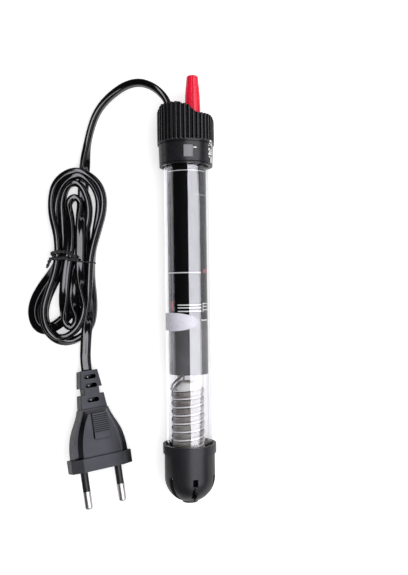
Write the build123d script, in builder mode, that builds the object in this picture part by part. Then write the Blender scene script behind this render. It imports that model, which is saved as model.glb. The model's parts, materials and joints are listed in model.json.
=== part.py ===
from build123d import *
from math import atan2, cos, degrees, radians, sin, sqrt, tan
import os

# Submersible aquarium heater, lying on its side on the surface that it rests on.
# Millimetres. The heater's axis runs along Y, with the cap at +Y and the foot at -Y.
# +Z is up. The origin is on the surface, under the middle of the heater's length.

os.makedirs("parts", exist_ok=True)

# ---- driving dimensions ----------------------------------------------------------

HEATER_LENGTH = 219.4       # top of the knob to the end of the foot
GLASS_R = 11.5              # outside radius of the tube
GLASS_WALL = 1.2
SOCKET_FIT = 0.15           # glass to cap and to foot, and lens to its window
SLEEVE_FIT = 0.1            # sleeve to glass, stopper to glass
LOOSE_FIT = 0.3             # pieces that slide or are dropped in
RUNNING_FIT = 0.05          # spindle in its bores

# cap
CAP_WALL = 3.0              # socket to rib crest
COLLAR_TOP_WALL = 2.4
COLLAR_LOW_WALL = 2.1
KNOB_HEIGHT = 21.6          # low roof of the cap to the top of the knob
ROOF_STEP = 5.2             # high roof above the low roof
ROOF_THICK = 2.6            # low roof to the inside of the cap
RIBBED_LENGTH = 14.2        # low roof to the collar
COLLAR_LENGTH = 11.2
COLLAR_LIP = 0.8            # lip below the groove round the collar's end
COLLAR_GROOVE = 0.25
RIB_COUNT = 40
RIB_GROOVE_R = 0.72
RIB_GROOVE_DEPTH = 0.95
RIB_SHOULDER = 1.0          # plain band between the grooves and the collar
SLOPE_START_X = -3.6        # where the high roof starts to fall
SLOPE_STEP_X = -0.6
SLOPE_END_X = 7.2           # where the low roof is reached
SLOPE_FIRST_DROP = 1.1
HIGH_CORNER = (2.4, 3.0)    # chamfer of the high corner, across and along
LOW_CORNER_R = 3.0

# window in the collar
WINDOW_X = 1.6
WINDOW_WIDTH = 4.9
WINDOW_HEIGHT = 6.2
WINDOW_RISE = 3.0           # collar's end to the window's lower edge

# knob and spindle
KNOB_X = 3.8
KNOB_BASE_R = 4.1
KNOB_TIERS = ((4.1, 3.8, 11.9), (3.7, 3.45, 16.4), (3.3, 3.0, 21.3))   # radii, end
KNOB_FLUTES = 8
KNOB_FLUTE_R = 0.62
KNOB_POCKET_FIT = 0.35
KNOB_STEP = 0.5             # each tier's foot flares out over this height
KNOB_EDGE = 0.3             # gap that each tier's top leaves below the next
KNOB_TOP_BEVEL = 0.5
KNOB_FLUTE_OUTSIDE = 0.12   # flute's middle outside the knob's foot
SPINDLE_R = 1.5
SPINDLE_TIP_R = 1.2
SPINDLE_SOCKET = 9.0        # how far the spindle goes up into the knob
THREAD_RINGS = 14
THREAD_PITCH = 1.1
THREAD_DEPTH = 0.25
O_RING_R = 0.45
O_RING_COUNT = 2
O_RING_PITCH = 2.5
O_RING_DEPTH = 1.5          # glass mouth to the first ring
CIRCLIP_R = 2.7
CIRCLIP_THICK = 0.4
CIRCLIP_GAP = 0.2           # stopper to circlip
THREAD_START = 2.2          # circlip to the first thread ring

# stopper
STOPPER_FLANGE = 2.5
STOPPER_DEPTH = 6.5

# indicator
NUT_WIDTH = 6.0
NUT_LENGTH = 6.0
FLAG_LENGTH = 10.0
FLAG_THICK = 0.8
FLAG_SPAN = (-3.0, 5.4)     # across the tube, behind the window

# sleeves and carrier
SLEEVE_WALL = 0.4
SLEEVE_TUCK = 1.8           # how far the printed sleeve goes up under the collar
PRINTED_LENGTH = 81.3
LOWER_LENGTH = 27.0
BOARD_THICK = 1.2
BOARD_DROP = 2.0            # the board's middle below the tube's axis
PLATE_THICK = 2.0
PLATE_BELOW_SLEEVE = 9.0    # top of the sleeve to the carrier's end plate
CHEEK_THICK = 1.0
CHEEK_HALF_HEIGHT = 2.5

# thermostat
STRIP_WIDTH = 5.0
STRIP_THICK = 0.4
BLADE_HEIGHT = 3.9          # above the board
BLADE_LENGTH = 42.0
BLADE_DROP = 17.0           # end plate to the blade's root
POST_LENGTH = 6.0
CONTACT_R = 1.0
CONTACT_THICK = 0.6
CONTACT_GAP = 0.1
CONTACT_INSET = 2.0         # blade's tip to the middle of the contact
FIXED_STRIP_LENGTH = 14.0
STRIP_FOOT = 4.0
MAGNET = (4.0, 4.0, 2.9)
RIVET_R = 0.7
RIVET_PITCH = 3.0

# lamp, resistor and capacitor
LAMP_R = 2.2
LAMP_LENGTH = 10.0
RESISTOR_R = 1.1
RESISTOR_LENGTH = 6.0
SIDE_PARTS_X = -6.2
CAPACITOR = (6.0, 12.0, 5.0)

# leads
LEAD_R = 0.8
LEAD_BEND = 2.0
CORE_SPREAD = 1.4           # each core of the cord from the cord's middle
NEUTRAL_DROP = 4.4          # the neutral lead below the tube's axis

# element
MICA_THICK = 0.8
MICA_GAP = 0.7
FORMER_GAP = 4.2            # lower sleeve to the former
FORMER_CORE_R = 5.5
FORMER_HEAD_R = 7.4
FORMER_HEAD = 3.0
FORMER_FOOT = 2.0
FORMER_ABOVE_GLASS_END = 10.0
COIL_R = 6.95               # middle of the winding
COIL_WIRE_R = 1.3
COIL_PITCH = 4.14
SUPPORT_R = 0.5
SUPPORT_X = 2.5
CUSHION_R = 6.4
CUSHION_LENGTH = 6.0
TONGUE_X = (1.8, 4.4)
TONGUE_THICK = 0.5
TONGUE_RISE = 4.0

# foot
FOOT_LENGTH = 29.9
FOOT_RIM_WALL = 2.1
FOOT_RIM_LENGTH = 4.5
FOOT_WALL = 1.35
FOOT_MOUTH_FIT = 0.7        # mouth to glass, between the tabs
FOOT_TAB_COUNT = 6
FOOT_TAB_WIDTH = 2.0
FOOT_MOUTH_DEPTH = 5.0
FOOT_SLOTS = 6
FOOT_SLOT_WIDTH = 2.6
FOOT_SLOT_LENGTH = 14.1
FOOT_SLOT_ANGLE = 14.0      # first slot, from the top towards +X
FOOT_BUTTON_R = 4.1
FOOT_BUTTON_RISE = 0.7
GLASS_TO_FOOT_END = 4.7

# cord: flat twin flex
CORD_WIDTH = 5.6
CORD_THICK = 3.4
CORD_FIT = 0.15
CORD_X = -5.2               # where it goes down through the stopper
BEND_SHARE = 0.45           # share of the shorter run that each bend takes

# plug: two-pin flat type
PIN_R = 2.0
PIN_LENGTH = 19.0
PIN_SPREAD = 9.3            # each pin from the plug's middle
PIN_NECK_R = 1.5
PIN_TAIL = 5.0              # inside the base
SLEEVE_LENGTH = 10.0
PIN_SLEEVE_R = 1.9
PLUG_FACE = (-46.4, -92.9)  # middle of the engagement face, seen from above
PLUG_HEADING = 9.0          # degrees that the pins turn from -Y towards +X
PLUG_ROLL = 30.0            # one edge of the base lies on the surface
PLUG_PITCH = 7.5            # the cord's end lies lower than the pins
BASE_DEPTH = 6.8
BASE_HALF_WIDTH = 16.4
BASE_HALF_HEIGHT = 6.85
BASE_FLAT = 11.0            # half width of the base's flat top
BODY_END = 31.0             # engagement face to the narrow end of the body
BODY_HALF_THICK = 4.0
CROWN_HEIGHT = 2.1
CROWN_INSET = 2.0           # its top is smaller than its foot by this, all round
PLUG_EDGE = 0.6             # rounding of the plug's moulded edges
GRIP_PAD = (8.4, 13.0)      # raised pad on the front: width, length
GRIP_RISE = 0.7             # above the crown
GRIP_X = 1.2                # its middle, from the plug's middle
GRIP_START = 15.4           # engagement face to the pad
GRIP_PLAIN = 2.6            # smooth part of the pad before the ribs
GRIP_RIBS = 9
GRIP_RIB_DEPTH = 0.4
PIN_TIP = 1.3               # rounding of the pin tips
RELIEF_END = 51.0
RELIEF_HALF_THICK = 3.5
RELIEF_WAIST = (38.5, 42.0)
RELIEF_SLOTS = (35.5, 43.0, 47.6)
RELIEF_SLOT_HALF = 3.3
RELIEF_SLOT_R = 1.15
RELIEF_WEB = 1.2            # thickness left between the slots of the two faces
RELIEF_HOLE_R = 0.45        # through the web

# hank and tie
HANK_HEIGHT = 12.6
TIE_WIDTH = 4.6
TIE_THICK = 0.9
TIE_FIT = 0.2
TIE_HALF_SPAN = 10.3
TIE_TILT = 19.0             # degrees that the tie falls from left to right
TIE_MIDDLE = (-60.2, 17.6)

# ---- stations along the axis, and derived radii -----------------------------------

KNOB_TOP = HEATER_LENGTH / 2
ROOF_LOW = KNOB_TOP - KNOB_HEIGHT
ROOF_HIGH = ROOF_LOW + ROOF_STEP
ROOF_UNDER = ROOF_LOW - ROOF_THICK
GLASS_MOUTH = ROOF_UNDER - STOPPER_FLANGE
STOPPER_END = GLASS_MOUTH - STOPPER_DEPTH
RIBS_END = ROOF_LOW - RIBBED_LENGTH
COLLAR_END = RIBS_END - COLLAR_LENGTH
WINDOW_LOW = COLLAR_END + WINDOW_RISE
WINDOW_MID = WINDOW_LOW + WINDOW_HEIGHT / 2
SLEEVE_TOP = COLLAR_END + SLEEVE_TUCK
SLEEVE_JOIN = SLEEVE_TOP - PRINTED_LENGTH
SLEEVE_END = SLEEVE_JOIN - LOWER_LENGTH
PLATE_TOP = SLEEVE_TOP - PLATE_BELOW_SLEEVE
PLATE_END = PLATE_TOP - PLATE_THICK
FOOT_END = -HEATER_LENGTH / 2
FOOT_TOP = FOOT_END + FOOT_LENGTH
GLASS_END = FOOT_END + GLASS_TO_FOOT_END
FORMER_TOP = SLEEVE_END - FORMER_GAP
FORMER_END = GLASS_END + FORMER_ABOVE_GLASS_END

SOCKET_R = GLASS_R + SOCKET_FIT
CAP_R = SOCKET_R + CAP_WALL
COLLAR_TOP_R = SOCKET_R + COLLAR_TOP_WALL
COLLAR_LOW_R = SOCKET_R + COLLAR_LOW_WALL
FOOT_RIM_R = SOCKET_R + FOOT_RIM_WALL
FOOT_R = SOCKET_R + FOOT_WALL
BORE_R = GLASS_R - GLASS_WALL
SLEEVE_R = BORE_R - SLEEVE_FIT
CARRIER_R = SLEEVE_R - SLEEVE_WALL - LOOSE_FIT
AXIS_Z = CAP_R
BOARD_TOP = AXIS_Z - BOARD_DROP + BOARD_THICK / 2
BOARD_UNDER = BOARD_TOP - BOARD_THICK
TUBE_AXIS = Axis((0, 0, AXIS_Z), (0, 1, 0))
KNOB_AXIS = Axis((KNOB_X, 0, AXIS_Z), (0, 1, 0))
REACH = 100.0               # longer than any cut needs


def across(y, x=0.0, z=AXIS_Z):
    """Plane across the tube at y, with X to the right and Z up, facing the foot."""
    return Plane(origin=(x, y, z), x_dir=(1, 0, 0), z_dir=(0, -1, 0))


def level(z):
    """Plane parallel to the surface at height z."""
    return Plane.XY.offset(z)


def keep(block, label):
    """Label a finished piece and write it."""
    block.part.label = label
    export_step(block.part, f"parts/{label}.step")


def bend_radii(points):
    """One bend radius for each corner of a route, as large as its two runs allow."""
    corners = [Vector(*point) for point in points]
    radii = []
    for before, here, after in zip(corners, corners[1:], corners[2:]):
        turn = (here - before).get_angle(after - here)
        shorter = min((here - before).length, (after - here).length)
        radii.append(BEND_SHARE * shorter / tan(radians(turn / 2)))
    return radii


def flat_section(width, thick):
    """Outline of the flat flex, its width along the sketch's Y."""
    with BuildSketch(mode=Mode.PRIVATE) as outline:
        SlotOverall(width, thick, rotation=90)
    return outline.sketch


# ---- glass, sleeves ---------------------------------------------------------------

with BuildPart() as glass_tube:
    with BuildSketch(level(AXIS_Z)):
        with BuildLine():
            dome_y = GLASS_END + GLASS_R
            Line((BORE_R, GLASS_MOUTH), (GLASS_R, GLASS_MOUTH))
            Line((GLASS_R, GLASS_MOUTH), (GLASS_R, dome_y))
            CenterArc((0, dome_y), GLASS_R, 0, -90)
            Line((0, GLASS_END), (0, GLASS_END + GLASS_WALL))
            CenterArc((0, dome_y), BORE_R, -90, 90)
            Line((BORE_R, dome_y), (BORE_R, GLASS_MOUTH))
        make_face()
    revolve(axis=TUBE_AXIS)
keep(glass_tube, "glass_tube")


def sleeve(top, length):
    """Thin tube inside the glass, from top down."""
    with BuildPart() as piece:
        with BuildSketch(across(top)):
            Circle(SLEEVE_R)
            Circle(SLEEVE_R - SLEEVE_WALL, mode=Mode.SUBTRACT)
        extrude(amount=length)
    return piece


printed_sleeve = sleeve(SLEEVE_TOP, PRINTED_LENGTH)
keep(printed_sleeve, "printed_sleeve")
lower_sleeve = sleeve(SLEEVE_JOIN, LOWER_LENGTH)
keep(lower_sleeve, "lower_sleeve")

# ---- cord from the cap to the hank ------------------------------------------------

# Corners of the cord's route from the stopper, out of the high roof and down to the hank.
CAP_ROUTE = [
    (CORD_X, STOPPER_END, AXIS_Z), (-5.4, 85.6, 14.7), (-9.1, 97.0, 14.6), (-13.1, 102.3, 14.0),
    (-18.1, 106.1, 12.5), (-24.2, 108.4, 10.5), (-31.2, 107.7, 8.0), (-38.3, 104.1, 5.5),
    (-44.4, 98.9, 3.9), (-48.4, 93.0, 3.0), (-50.8, 86.5, 2.8), (-52.7, 79.1, 2.8),
    (-53.9, 71.6, 2.8), (-53.9, 65.7, 2.8),
]


def cord_tube(points, section, start_plane):
    """Straight runs and tangent arcs along a route, with the section swept along them."""
    with BuildPart() as tube:
        with BuildLine() as route:
            FilletPolyline(*points, radius=bend_radii(points))
        with BuildSketch(start_plane):
            add(section)
        sweep(path=route.wires()[0])
    return tube


def report_cord(label, tube, points, area):
    """Print the bend radii, and the tube's volume against section times length."""
    with BuildLine() as route:
        FilletPolyline(*points, radius=bend_radii(points))
    length = route.wires()[0].length
    radii = [round(radius, 1) for radius in bend_radii(points)]
    ratio = tube.part.volume / (area * length)
    print(f"{label}: length {length:.1f}, volume ratio {ratio:.4f}, radii {radii}")


CORD_AREA = flat_section(CORD_WIDTH, CORD_THICK).area
cord_from_cap = cord_tube(CAP_ROUTE, flat_section(CORD_WIDTH, CORD_THICK),
                          Plane(origin=CAP_ROUTE[0], x_dir=(-1, 0, 0), z_dir=(0, 1, 0)))
report_cord("cord_from_cap", cord_from_cap, CAP_ROUTE, CORD_AREA)
keep(cord_from_cap, "cord_from_cap")

# The way that the cord's first runs need through the stopper and the roof.
cord_way = cord_tube(CAP_ROUTE[:4],
                     flat_section(CORD_WIDTH + 2 * CORD_FIT, CORD_THICK + 2 * CORD_FIT),
                     Plane(origin=CAP_ROUTE[0], x_dir=(-1, 0, 0), z_dir=(0, 1, 0)))

# ---- cap --------------------------------------------------------------------------

with BuildPart() as cap_shell:
    with BuildSketch(level(AXIS_Z)):
        with BuildLine():
            Polyline((SOCKET_R, COLLAR_END), (COLLAR_LOW_R, COLLAR_END),
                     (COLLAR_LOW_R, COLLAR_END + COLLAR_LIP),
                     (COLLAR_LOW_R - COLLAR_GROOVE, COLLAR_END + COLLAR_LIP + COLLAR_GROOVE),
                     (COLLAR_LOW_R, COLLAR_END + COLLAR_LIP + 2 * COLLAR_GROOVE),
                     (COLLAR_TOP_R, RIBS_END), (CAP_R, RIBS_END), (CAP_R, ROOF_HIGH),
                     (0, ROOF_HIGH), (0, ROOF_UNDER), (SOCKET_R, ROOF_UNDER),
                     (SOCKET_R, COLLAR_END))
        make_face()
    revolve(axis=TUBE_AXIS)
    # S-shaped roof: a high part on the cord's side falls to a low part beside the knob
    with BuildSketch(level(0)):
        with BuildLine():
            high_left = (-CAP_R, ROOF_HIGH - HIGH_CORNER[1])
            step_y = ROOF_HIGH - SLOPE_FIRST_DROP
            Polyline((CAP_R, ROOF_LOW - LOW_CORNER_R), (CAP_R, COLLAR_END - 1),
                     (-CAP_R, COLLAR_END - 1), high_left,
                     (HIGH_CORNER[0] - CAP_R, ROOF_HIGH), (SLOPE_START_X, ROOF_HIGH))
            Spline((SLOPE_START_X, ROOF_HIGH), (SLOPE_STEP_X, step_y),
                   tangents=((1, 0), (1, 0)))
            Spline((SLOPE_STEP_X, step_y), (SLOPE_END_X, ROOF_LOW), tangents=((1, 0), (1, 0)))
            Line((SLOPE_END_X, ROOF_LOW), (CAP_R - LOW_CORNER_R, ROOF_LOW))
            RadiusArc((CAP_R - LOW_CORNER_R, ROOF_LOW), (CAP_R, ROOF_LOW - LOW_CORNER_R),
                      LOW_CORNER_R)
        make_face()
    extrude(amount=2 * CAP_R, mode=Mode.INTERSECT)
    # grip grooves with round lower ends
    groove_middle = CAP_R - RIB_GROOVE_DEPTH + RIB_GROOVE_R
    groove_end = RIBS_END + RIB_SHOULDER + RIB_GROOVE_R
    half_pitch = 180 / RIB_COUNT
    with BuildSketch(across(ROOF_HIGH + 1)):
        with PolarLocations(groove_middle, RIB_COUNT, start_angle=half_pitch):
            Circle(RIB_GROOVE_R)
    extrude(amount=ROOF_HIGH + 1 - groove_end, mode=Mode.SUBTRACT)
    with Locations(across(groove_end)):
        with PolarLocations(groove_middle, RIB_COUNT, start_angle=half_pitch):
            Sphere(RIB_GROOVE_R, mode=Mode.SUBTRACT)
    # pocket for the knob, bore for its spindle, way for the cord
    with BuildSketch(across(ROOF_HIGH + 1, KNOB_X)):
        Circle(KNOB_BASE_R + KNOB_POCKET_FIT)
    extrude(amount=ROOF_HIGH + 1 - ROOF_LOW, mode=Mode.SUBTRACT)
    with BuildSketch(across(ROOF_LOW + 1, KNOB_X)):
        Circle(SPINDLE_R + RUNNING_FIT)
    extrude(amount=ROOF_THICK + 2, mode=Mode.SUBTRACT)
    add(cord_way.part, mode=Mode.SUBTRACT)
    # window
    with BuildSketch(level(AXIS_Z)):
        with Locations((WINDOW_X, WINDOW_MID)):
            Rectangle(WINDOW_WIDTH, WINDOW_HEIGHT)
    extrude(amount=REACH, mode=Mode.SUBTRACT)
keep(cap_shell, "cap_shell")

with BuildPart() as window_lens:
    with BuildSketch(across(WINDOW_LOW + WINDOW_HEIGHT - SLEEVE_FIT)):
        Circle(COLLAR_LOW_R - SLEEVE_FIT)
        Circle(SOCKET_R, mode=Mode.SUBTRACT)
        with Locations((WINDOW_X, AXIS_Z)):
            Rectangle(WINDOW_WIDTH - 2 * SLEEVE_FIT, 2 * AXIS_Z, mode=Mode.INTERSECT)
    extrude(amount=WINDOW_HEIGHT - 2 * SLEEVE_FIT)
keep(window_lens, "window_lens")

# ---- stopper, knob, spindle -------------------------------------------------------

O_RING_TOP = GLASS_MOUTH - O_RING_DEPTH
O_RING_STATIONS = [O_RING_TOP - index * O_RING_PITCH for index in range(O_RING_COUNT)]
O_RING_MIDDLE_R = SPINDLE_R + RUNNING_FIT + O_RING_R

with BuildPart() as rubber_stopper:
    with BuildSketch(across(ROOF_UNDER)):
        Circle(GLASS_R)
    extrude(amount=STOPPER_FLANGE)
    with BuildSketch(across(GLASS_MOUTH)):
        Circle(BORE_R - SLEEVE_FIT)
    extrude(amount=STOPPER_DEPTH)
    with BuildSketch(across(ROOF_UNDER, KNOB_X)):
        Circle(SPINDLE_R + RUNNING_FIT)
    extrude(amount=REACH, mode=Mode.SUBTRACT)
    for station in O_RING_STATIONS:
        with BuildSketch(across(station + O_RING_R + RUNNING_FIT, KNOB_X)):
            Circle(O_RING_MIDDLE_R + O_RING_R + RUNNING_FIT)
        extrude(amount=2 * (O_RING_R + RUNNING_FIT), mode=Mode.SUBTRACT)
    add(cord_way.part, mode=Mode.SUBTRACT)
keep(rubber_stopper, "rubber_stopper")

with BuildPart() as spindle_o_rings:
    for station in O_RING_STATIONS:
        with Locations(across(station, KNOB_X)):
            Torus(O_RING_MIDDLE_R, O_RING_R)
keep(spindle_o_rings, "spindle_o_rings")

with BuildPart() as temperature_knob:
    with BuildSketch(level(AXIS_Z)):
        with BuildLine():
            outline = [(0, ROOF_LOW + LOOSE_FIT), (KNOB_BASE_R, ROOF_LOW + LOOSE_FIT)]
            start = ROOF_LOW + LOOSE_FIT
            for lower_r, upper_r, rise in KNOB_TIERS:
                outline.append((lower_r, start + KNOB_STEP))
                outline.append((upper_r, ROOF_LOW + rise - KNOB_EDGE))
                start = ROOF_LOW + rise
            outline.append((KNOB_TIERS[-1][1] - KNOB_TOP_BEVEL, KNOB_TOP))
            outline.append((0, KNOB_TOP))
            Polyline(*[(KNOB_X + r, y) for r, y in outline], close=True)
        make_face()
    revolve(axis=KNOB_AXIS)
    # flutes lean with the knob's taper
    lean = degrees(atan2(KNOB_TIERS[0][0] - KNOB_TIERS[-1][1], KNOB_HEIGHT))
    with Locations(across(ROOF_LOW, KNOB_X)):
        with PolarLocations(KNOB_BASE_R + KNOB_FLUTE_OUTSIDE, KNOB_FLUTES):
            with Locations(Location((0, 0, 0), (0, lean, 0))):
                Cylinder(KNOB_FLUTE_R, REACH, mode=Mode.SUBTRACT)
    with BuildSketch(across(ROOF_LOW + LOOSE_FIT + SPINDLE_SOCKET, KNOB_X)):
        Circle(SPINDLE_R)
    extrude(amount=REACH, mode=Mode.SUBTRACT)
keep(temperature_knob, "temperature_knob")

CIRCLIP_TOP = STOPPER_END - CIRCLIP_GAP
THREAD_TOP = CIRCLIP_TOP - THREAD_START

with BuildPart() as knob_spindle:
    spindle_top = ROOF_LOW + LOOSE_FIT + SPINDLE_SOCKET
    with BuildSketch(across(spindle_top, KNOB_X)):
        Circle(SPINDLE_R)
    extrude(amount=spindle_top - PLATE_TOP - LOOSE_FIT)
    with BuildSketch(across(PLATE_TOP + LOOSE_FIT, KNOB_X)):
        Circle(SPINDLE_TIP_R)
    extrude(amount=PLATE_THICK)
    for ring in range(THREAD_RINGS):
        with BuildSketch(across(THREAD_TOP - ring * THREAD_PITCH, KNOB_X)):
            Circle(2 * SPINDLE_R)
            Circle(SPINDLE_R - THREAD_DEPTH, mode=Mode.SUBTRACT)
        extrude(amount=THREAD_PITCH / 2, mode=Mode.SUBTRACT)
    with BuildSketch(across(CIRCLIP_TOP, KNOB_X)):
        Circle(2 * SPINDLE_R)
        Circle(SPINDLE_R - THREAD_DEPTH, mode=Mode.SUBTRACT)
    extrude(amount=CIRCLIP_THICK, mode=Mode.SUBTRACT)
keep(knob_spindle, "knob_spindle")

with BuildPart() as spindle_circlip:
    with BuildSketch(across(CIRCLIP_TOP, KNOB_X)):
        Circle(CIRCLIP_R)
        Circle(SPINDLE_R - THREAD_DEPTH, mode=Mode.SUBTRACT)
        with Locations((0, -CIRCLIP_R)):
            Rectangle(SPINDLE_R, 2 * CIRCLIP_R, mode=Mode.SUBTRACT)
    extrude(amount=CIRCLIP_THICK)
keep(spindle_circlip, "spindle_circlip")

with BuildPart() as indicator_slide:
    # curved flag behind the window
    flag_top = WINDOW_MID + FLAG_LENGTH / 2
    flag_r = CARRIER_R
    flag_middle = (FLAG_SPAN[0] + FLAG_SPAN[1]) / 2
    with BuildSketch(across(flag_top)):
        Circle(flag_r)
        Circle(flag_r - FLAG_THICK, mode=Mode.SUBTRACT)
        with Locations((flag_middle, AXIS_Z)):
            Rectangle(FLAG_SPAN[1] - FLAG_SPAN[0], 2 * AXIS_Z, mode=Mode.INTERSECT)
    extrude(amount=FLAG_LENGTH)
    # threaded block and the neck between them
    nut_top = WINDOW_MID - 0.5 + NUT_LENGTH / 2
    with BuildSketch(across(nut_top, KNOB_X)):
        Rectangle(NUT_WIDTH, NUT_WIDTH)
        with Locations((-KNOB_X + flag_middle + 1.2, flag_r / 2)):
            Rectangle(2.0, flag_r - FLAG_THICK)
        Circle(SPINDLE_R + RUNNING_FIT, mode=Mode.SUBTRACT)
    extrude(amount=NUT_LENGTH)
keep(indicator_slide, "indicator_slide")

# ---- carrier and thermostat -------------------------------------------------------

BOARD_END = SLEEVE_END + MICA_GAP + 2 * MICA_THICK + LOOSE_FIT
BOARD_HALF = sqrt(CARRIER_R ** 2 - (AXIS_Z - BOARD_UNDER) ** 2)
NEUTRAL_Z = AXIS_Z - NEUTRAL_DROP
LIVE_Z = AXIS_Z + CORE_SPREAD

with BuildPart() as carrier_board:
    with BuildSketch(across(PLATE_TOP)):
        Circle(CARRIER_R)
        with Locations((CORD_X, LIVE_Z - AXIS_Z), (CORD_X, -NEUTRAL_DROP)):
            Circle(LEAD_R + SLEEVE_FIT, mode=Mode.SUBTRACT)
        with Locations((KNOB_X, 0)):
            Circle(SPINDLE_TIP_R + RUNNING_FIT, mode=Mode.SUBTRACT)
    extrude(amount=PLATE_THICK)
    with BuildSketch(across(PLATE_END)):
        with Locations((0, -BOARD_DROP)):
            Rectangle(2 * BOARD_HALF, BOARD_THICK)
    extrude(amount=PLATE_END - BOARD_END)
    # two cheeks keep the indicator from turning
    cheek_offset = NUT_WIDTH / 2 + LOOSE_FIT + CHEEK_THICK / 2
    with BuildSketch(across(STOPPER_END - LOOSE_FIT)):
        with Locations((KNOB_X - cheek_offset, 0), (KNOB_X + cheek_offset, 0)):
            Rectangle(CHEEK_THICK, 2 * CHEEK_HALF_HEIGHT)
    extrude(amount=STOPPER_END - LOOSE_FIT - PLATE_TOP)
keep(carrier_board, "carrier_board")

BLADE_ROOT = PLATE_END - BLADE_DROP
BLADE_TIP = BLADE_ROOT - BLADE_LENGTH
BLADE_Z = BOARD_TOP + BLADE_HEIGHT
CONTACT_Y = BLADE_TIP + CONTACT_INSET

with BuildPart() as blade_post:
    with BuildSketch(level(BOARD_TOP)):
        with Locations((0, BLADE_ROOT + LOOSE_FIT + POST_LENGTH / 2)):
            Rectangle(STRIP_WIDTH, POST_LENGTH)
    extrude(amount=BLADE_HEIGHT + STRIP_THICK / 2)
    with Locations(*[(0, BLADE_ROOT + LOOSE_FIT + POST_LENGTH / 2 + side * RIVET_PITCH / 2,
                      BOARD_TOP) for side in (-1, 1)]):
        Cylinder(RIVET_R, REACH, mode=Mode.SUBTRACT)
keep(blade_post, "blade_post")

with BuildPart() as blade_rivets:
    for side in (-1, 1):
        rivet_y = BLADE_ROOT + LOOSE_FIT + POST_LENGTH / 2 + side * RIVET_PITCH / 2
        with Locations((0, rivet_y, BOARD_TOP)):
            Cylinder(RIVET_R, BLADE_HEIGHT + STRIP_THICK / 2,
                     align=(Align.CENTER, Align.CENTER, Align.MIN))
        with Locations((0, rivet_y, BLADE_Z + STRIP_THICK / 2)):
            Cylinder(2 * RIVET_R, RIVET_R, align=(Align.CENTER, Align.CENTER, Align.MIN))
keep(blade_rivets, "blade_rivets")

with BuildPart() as bimetal_blade:
    with BuildSketch(level(BLADE_Z - STRIP_THICK / 2)):
        with Locations((0, (BLADE_ROOT + BLADE_TIP) / 2)):
            RectangleRounded(STRIP_WIDTH, BLADE_LENGTH, 1.0)
    extrude(amount=STRIP_THICK)
keep(bimetal_blade, "bimetal_blade")

with BuildPart() as moving_contact:
    with Locations((0, CONTACT_Y, BLADE_Z - STRIP_THICK / 2)):
        Cylinder(CONTACT_R, CONTACT_THICK, align=(Align.CENTER, Align.CENTER, Align.MAX))
keep(moving_contact, "moving_contact")

FIXED_TOP = BLADE_Z - STRIP_THICK / 2 - 2 * CONTACT_THICK - CONTACT_GAP
FIXED_FOOT_Y = CONTACT_Y - FIXED_STRIP_LENGTH

with BuildPart() as fixed_contact_blade:
    with BuildSketch(Plane.YZ.offset(-STRIP_WIDTH / 2)):
        with BuildLine():
            strip = FilletPolyline((CONTACT_Y + CONTACT_INSET, FIXED_TOP - STRIP_THICK / 2),
                                   (FIXED_FOOT_Y, FIXED_TOP - STRIP_THICK / 2),
                                   (FIXED_FOOT_Y, BOARD_TOP + STRIP_THICK / 2),
                                   (FIXED_FOOT_Y - STRIP_FOOT, BOARD_TOP + STRIP_THICK / 2),
                                   radius=0.7)
            offset(strip, amount=STRIP_THICK / 2, side=Side.BOTH)
        make_face()
    extrude(amount=STRIP_WIDTH)
keep(fixed_contact_blade, "fixed_contact_blade")

with BuildPart() as fixed_contact:
    with Locations((0, CONTACT_Y, FIXED_TOP)):
        Cylinder(CONTACT_R, CONTACT_THICK, align=(Align.CENTER, Align.CENTER, Align.MIN))
keep(fixed_contact, "fixed_contact")

with BuildPart() as snap_magnet:
    with Locations((0, CONTACT_Y + 8, BOARD_TOP)):
        Box(*MAGNET, align=(Align.CENTER, Align.CENTER, Align.MIN))
    fillet(snap_magnet.edges().filter_by(Axis.Z), 0.5)
keep(snap_magnet, "snap_magnet")

LAMP_Y = BLADE_ROOT - 4.0
with BuildPart() as neon_lamp:
    with BuildSketch(across(LAMP_Y, SIDE_PARTS_X, BOARD_TOP + LAMP_R)):
        Circle(LAMP_R)
    extrude(amount=LAMP_LENGTH)
    fillet(neon_lamp.edges(), 0.8)
keep(neon_lamp, "neon_lamp")

with BuildPart() as lamp_resistor:
    with BuildSketch(across(LAMP_Y - LAMP_LENGTH - 3, SIDE_PARTS_X, BOARD_TOP + RESISTOR_R)):
        Circle(RESISTOR_R)
    extrude(amount=RESISTOR_LENGTH)
    fillet(lamp_resistor.edges(), 0.4)
keep(lamp_resistor, "lamp_resistor")

with BuildPart() as suppressor_capacitor:
    with Locations((2.0, LAMP_Y - LAMP_LENGTH, BOARD_UNDER)):
        Box(*CAPACITOR, align=(Align.CENTER, Align.CENTER, Align.MAX))
    fillet(suppressor_capacitor.edges().filter_by(Axis.Z), 1.2)
keep(suppressor_capacitor, "suppressor_capacitor")


def lead(points, label):
    """Insulated wire along a route of straight runs with small bends."""
    with BuildPart() as wire:
        with BuildLine() as route:
            FilletPolyline(*points, radius=LEAD_BEND)
        with BuildSketch(Plane(origin=points[0], z_dir=route.wires()[0] % 0)):
            Circle(LEAD_R)
        sweep(path=route.wires()[0])
    keep(wire, label)


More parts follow.
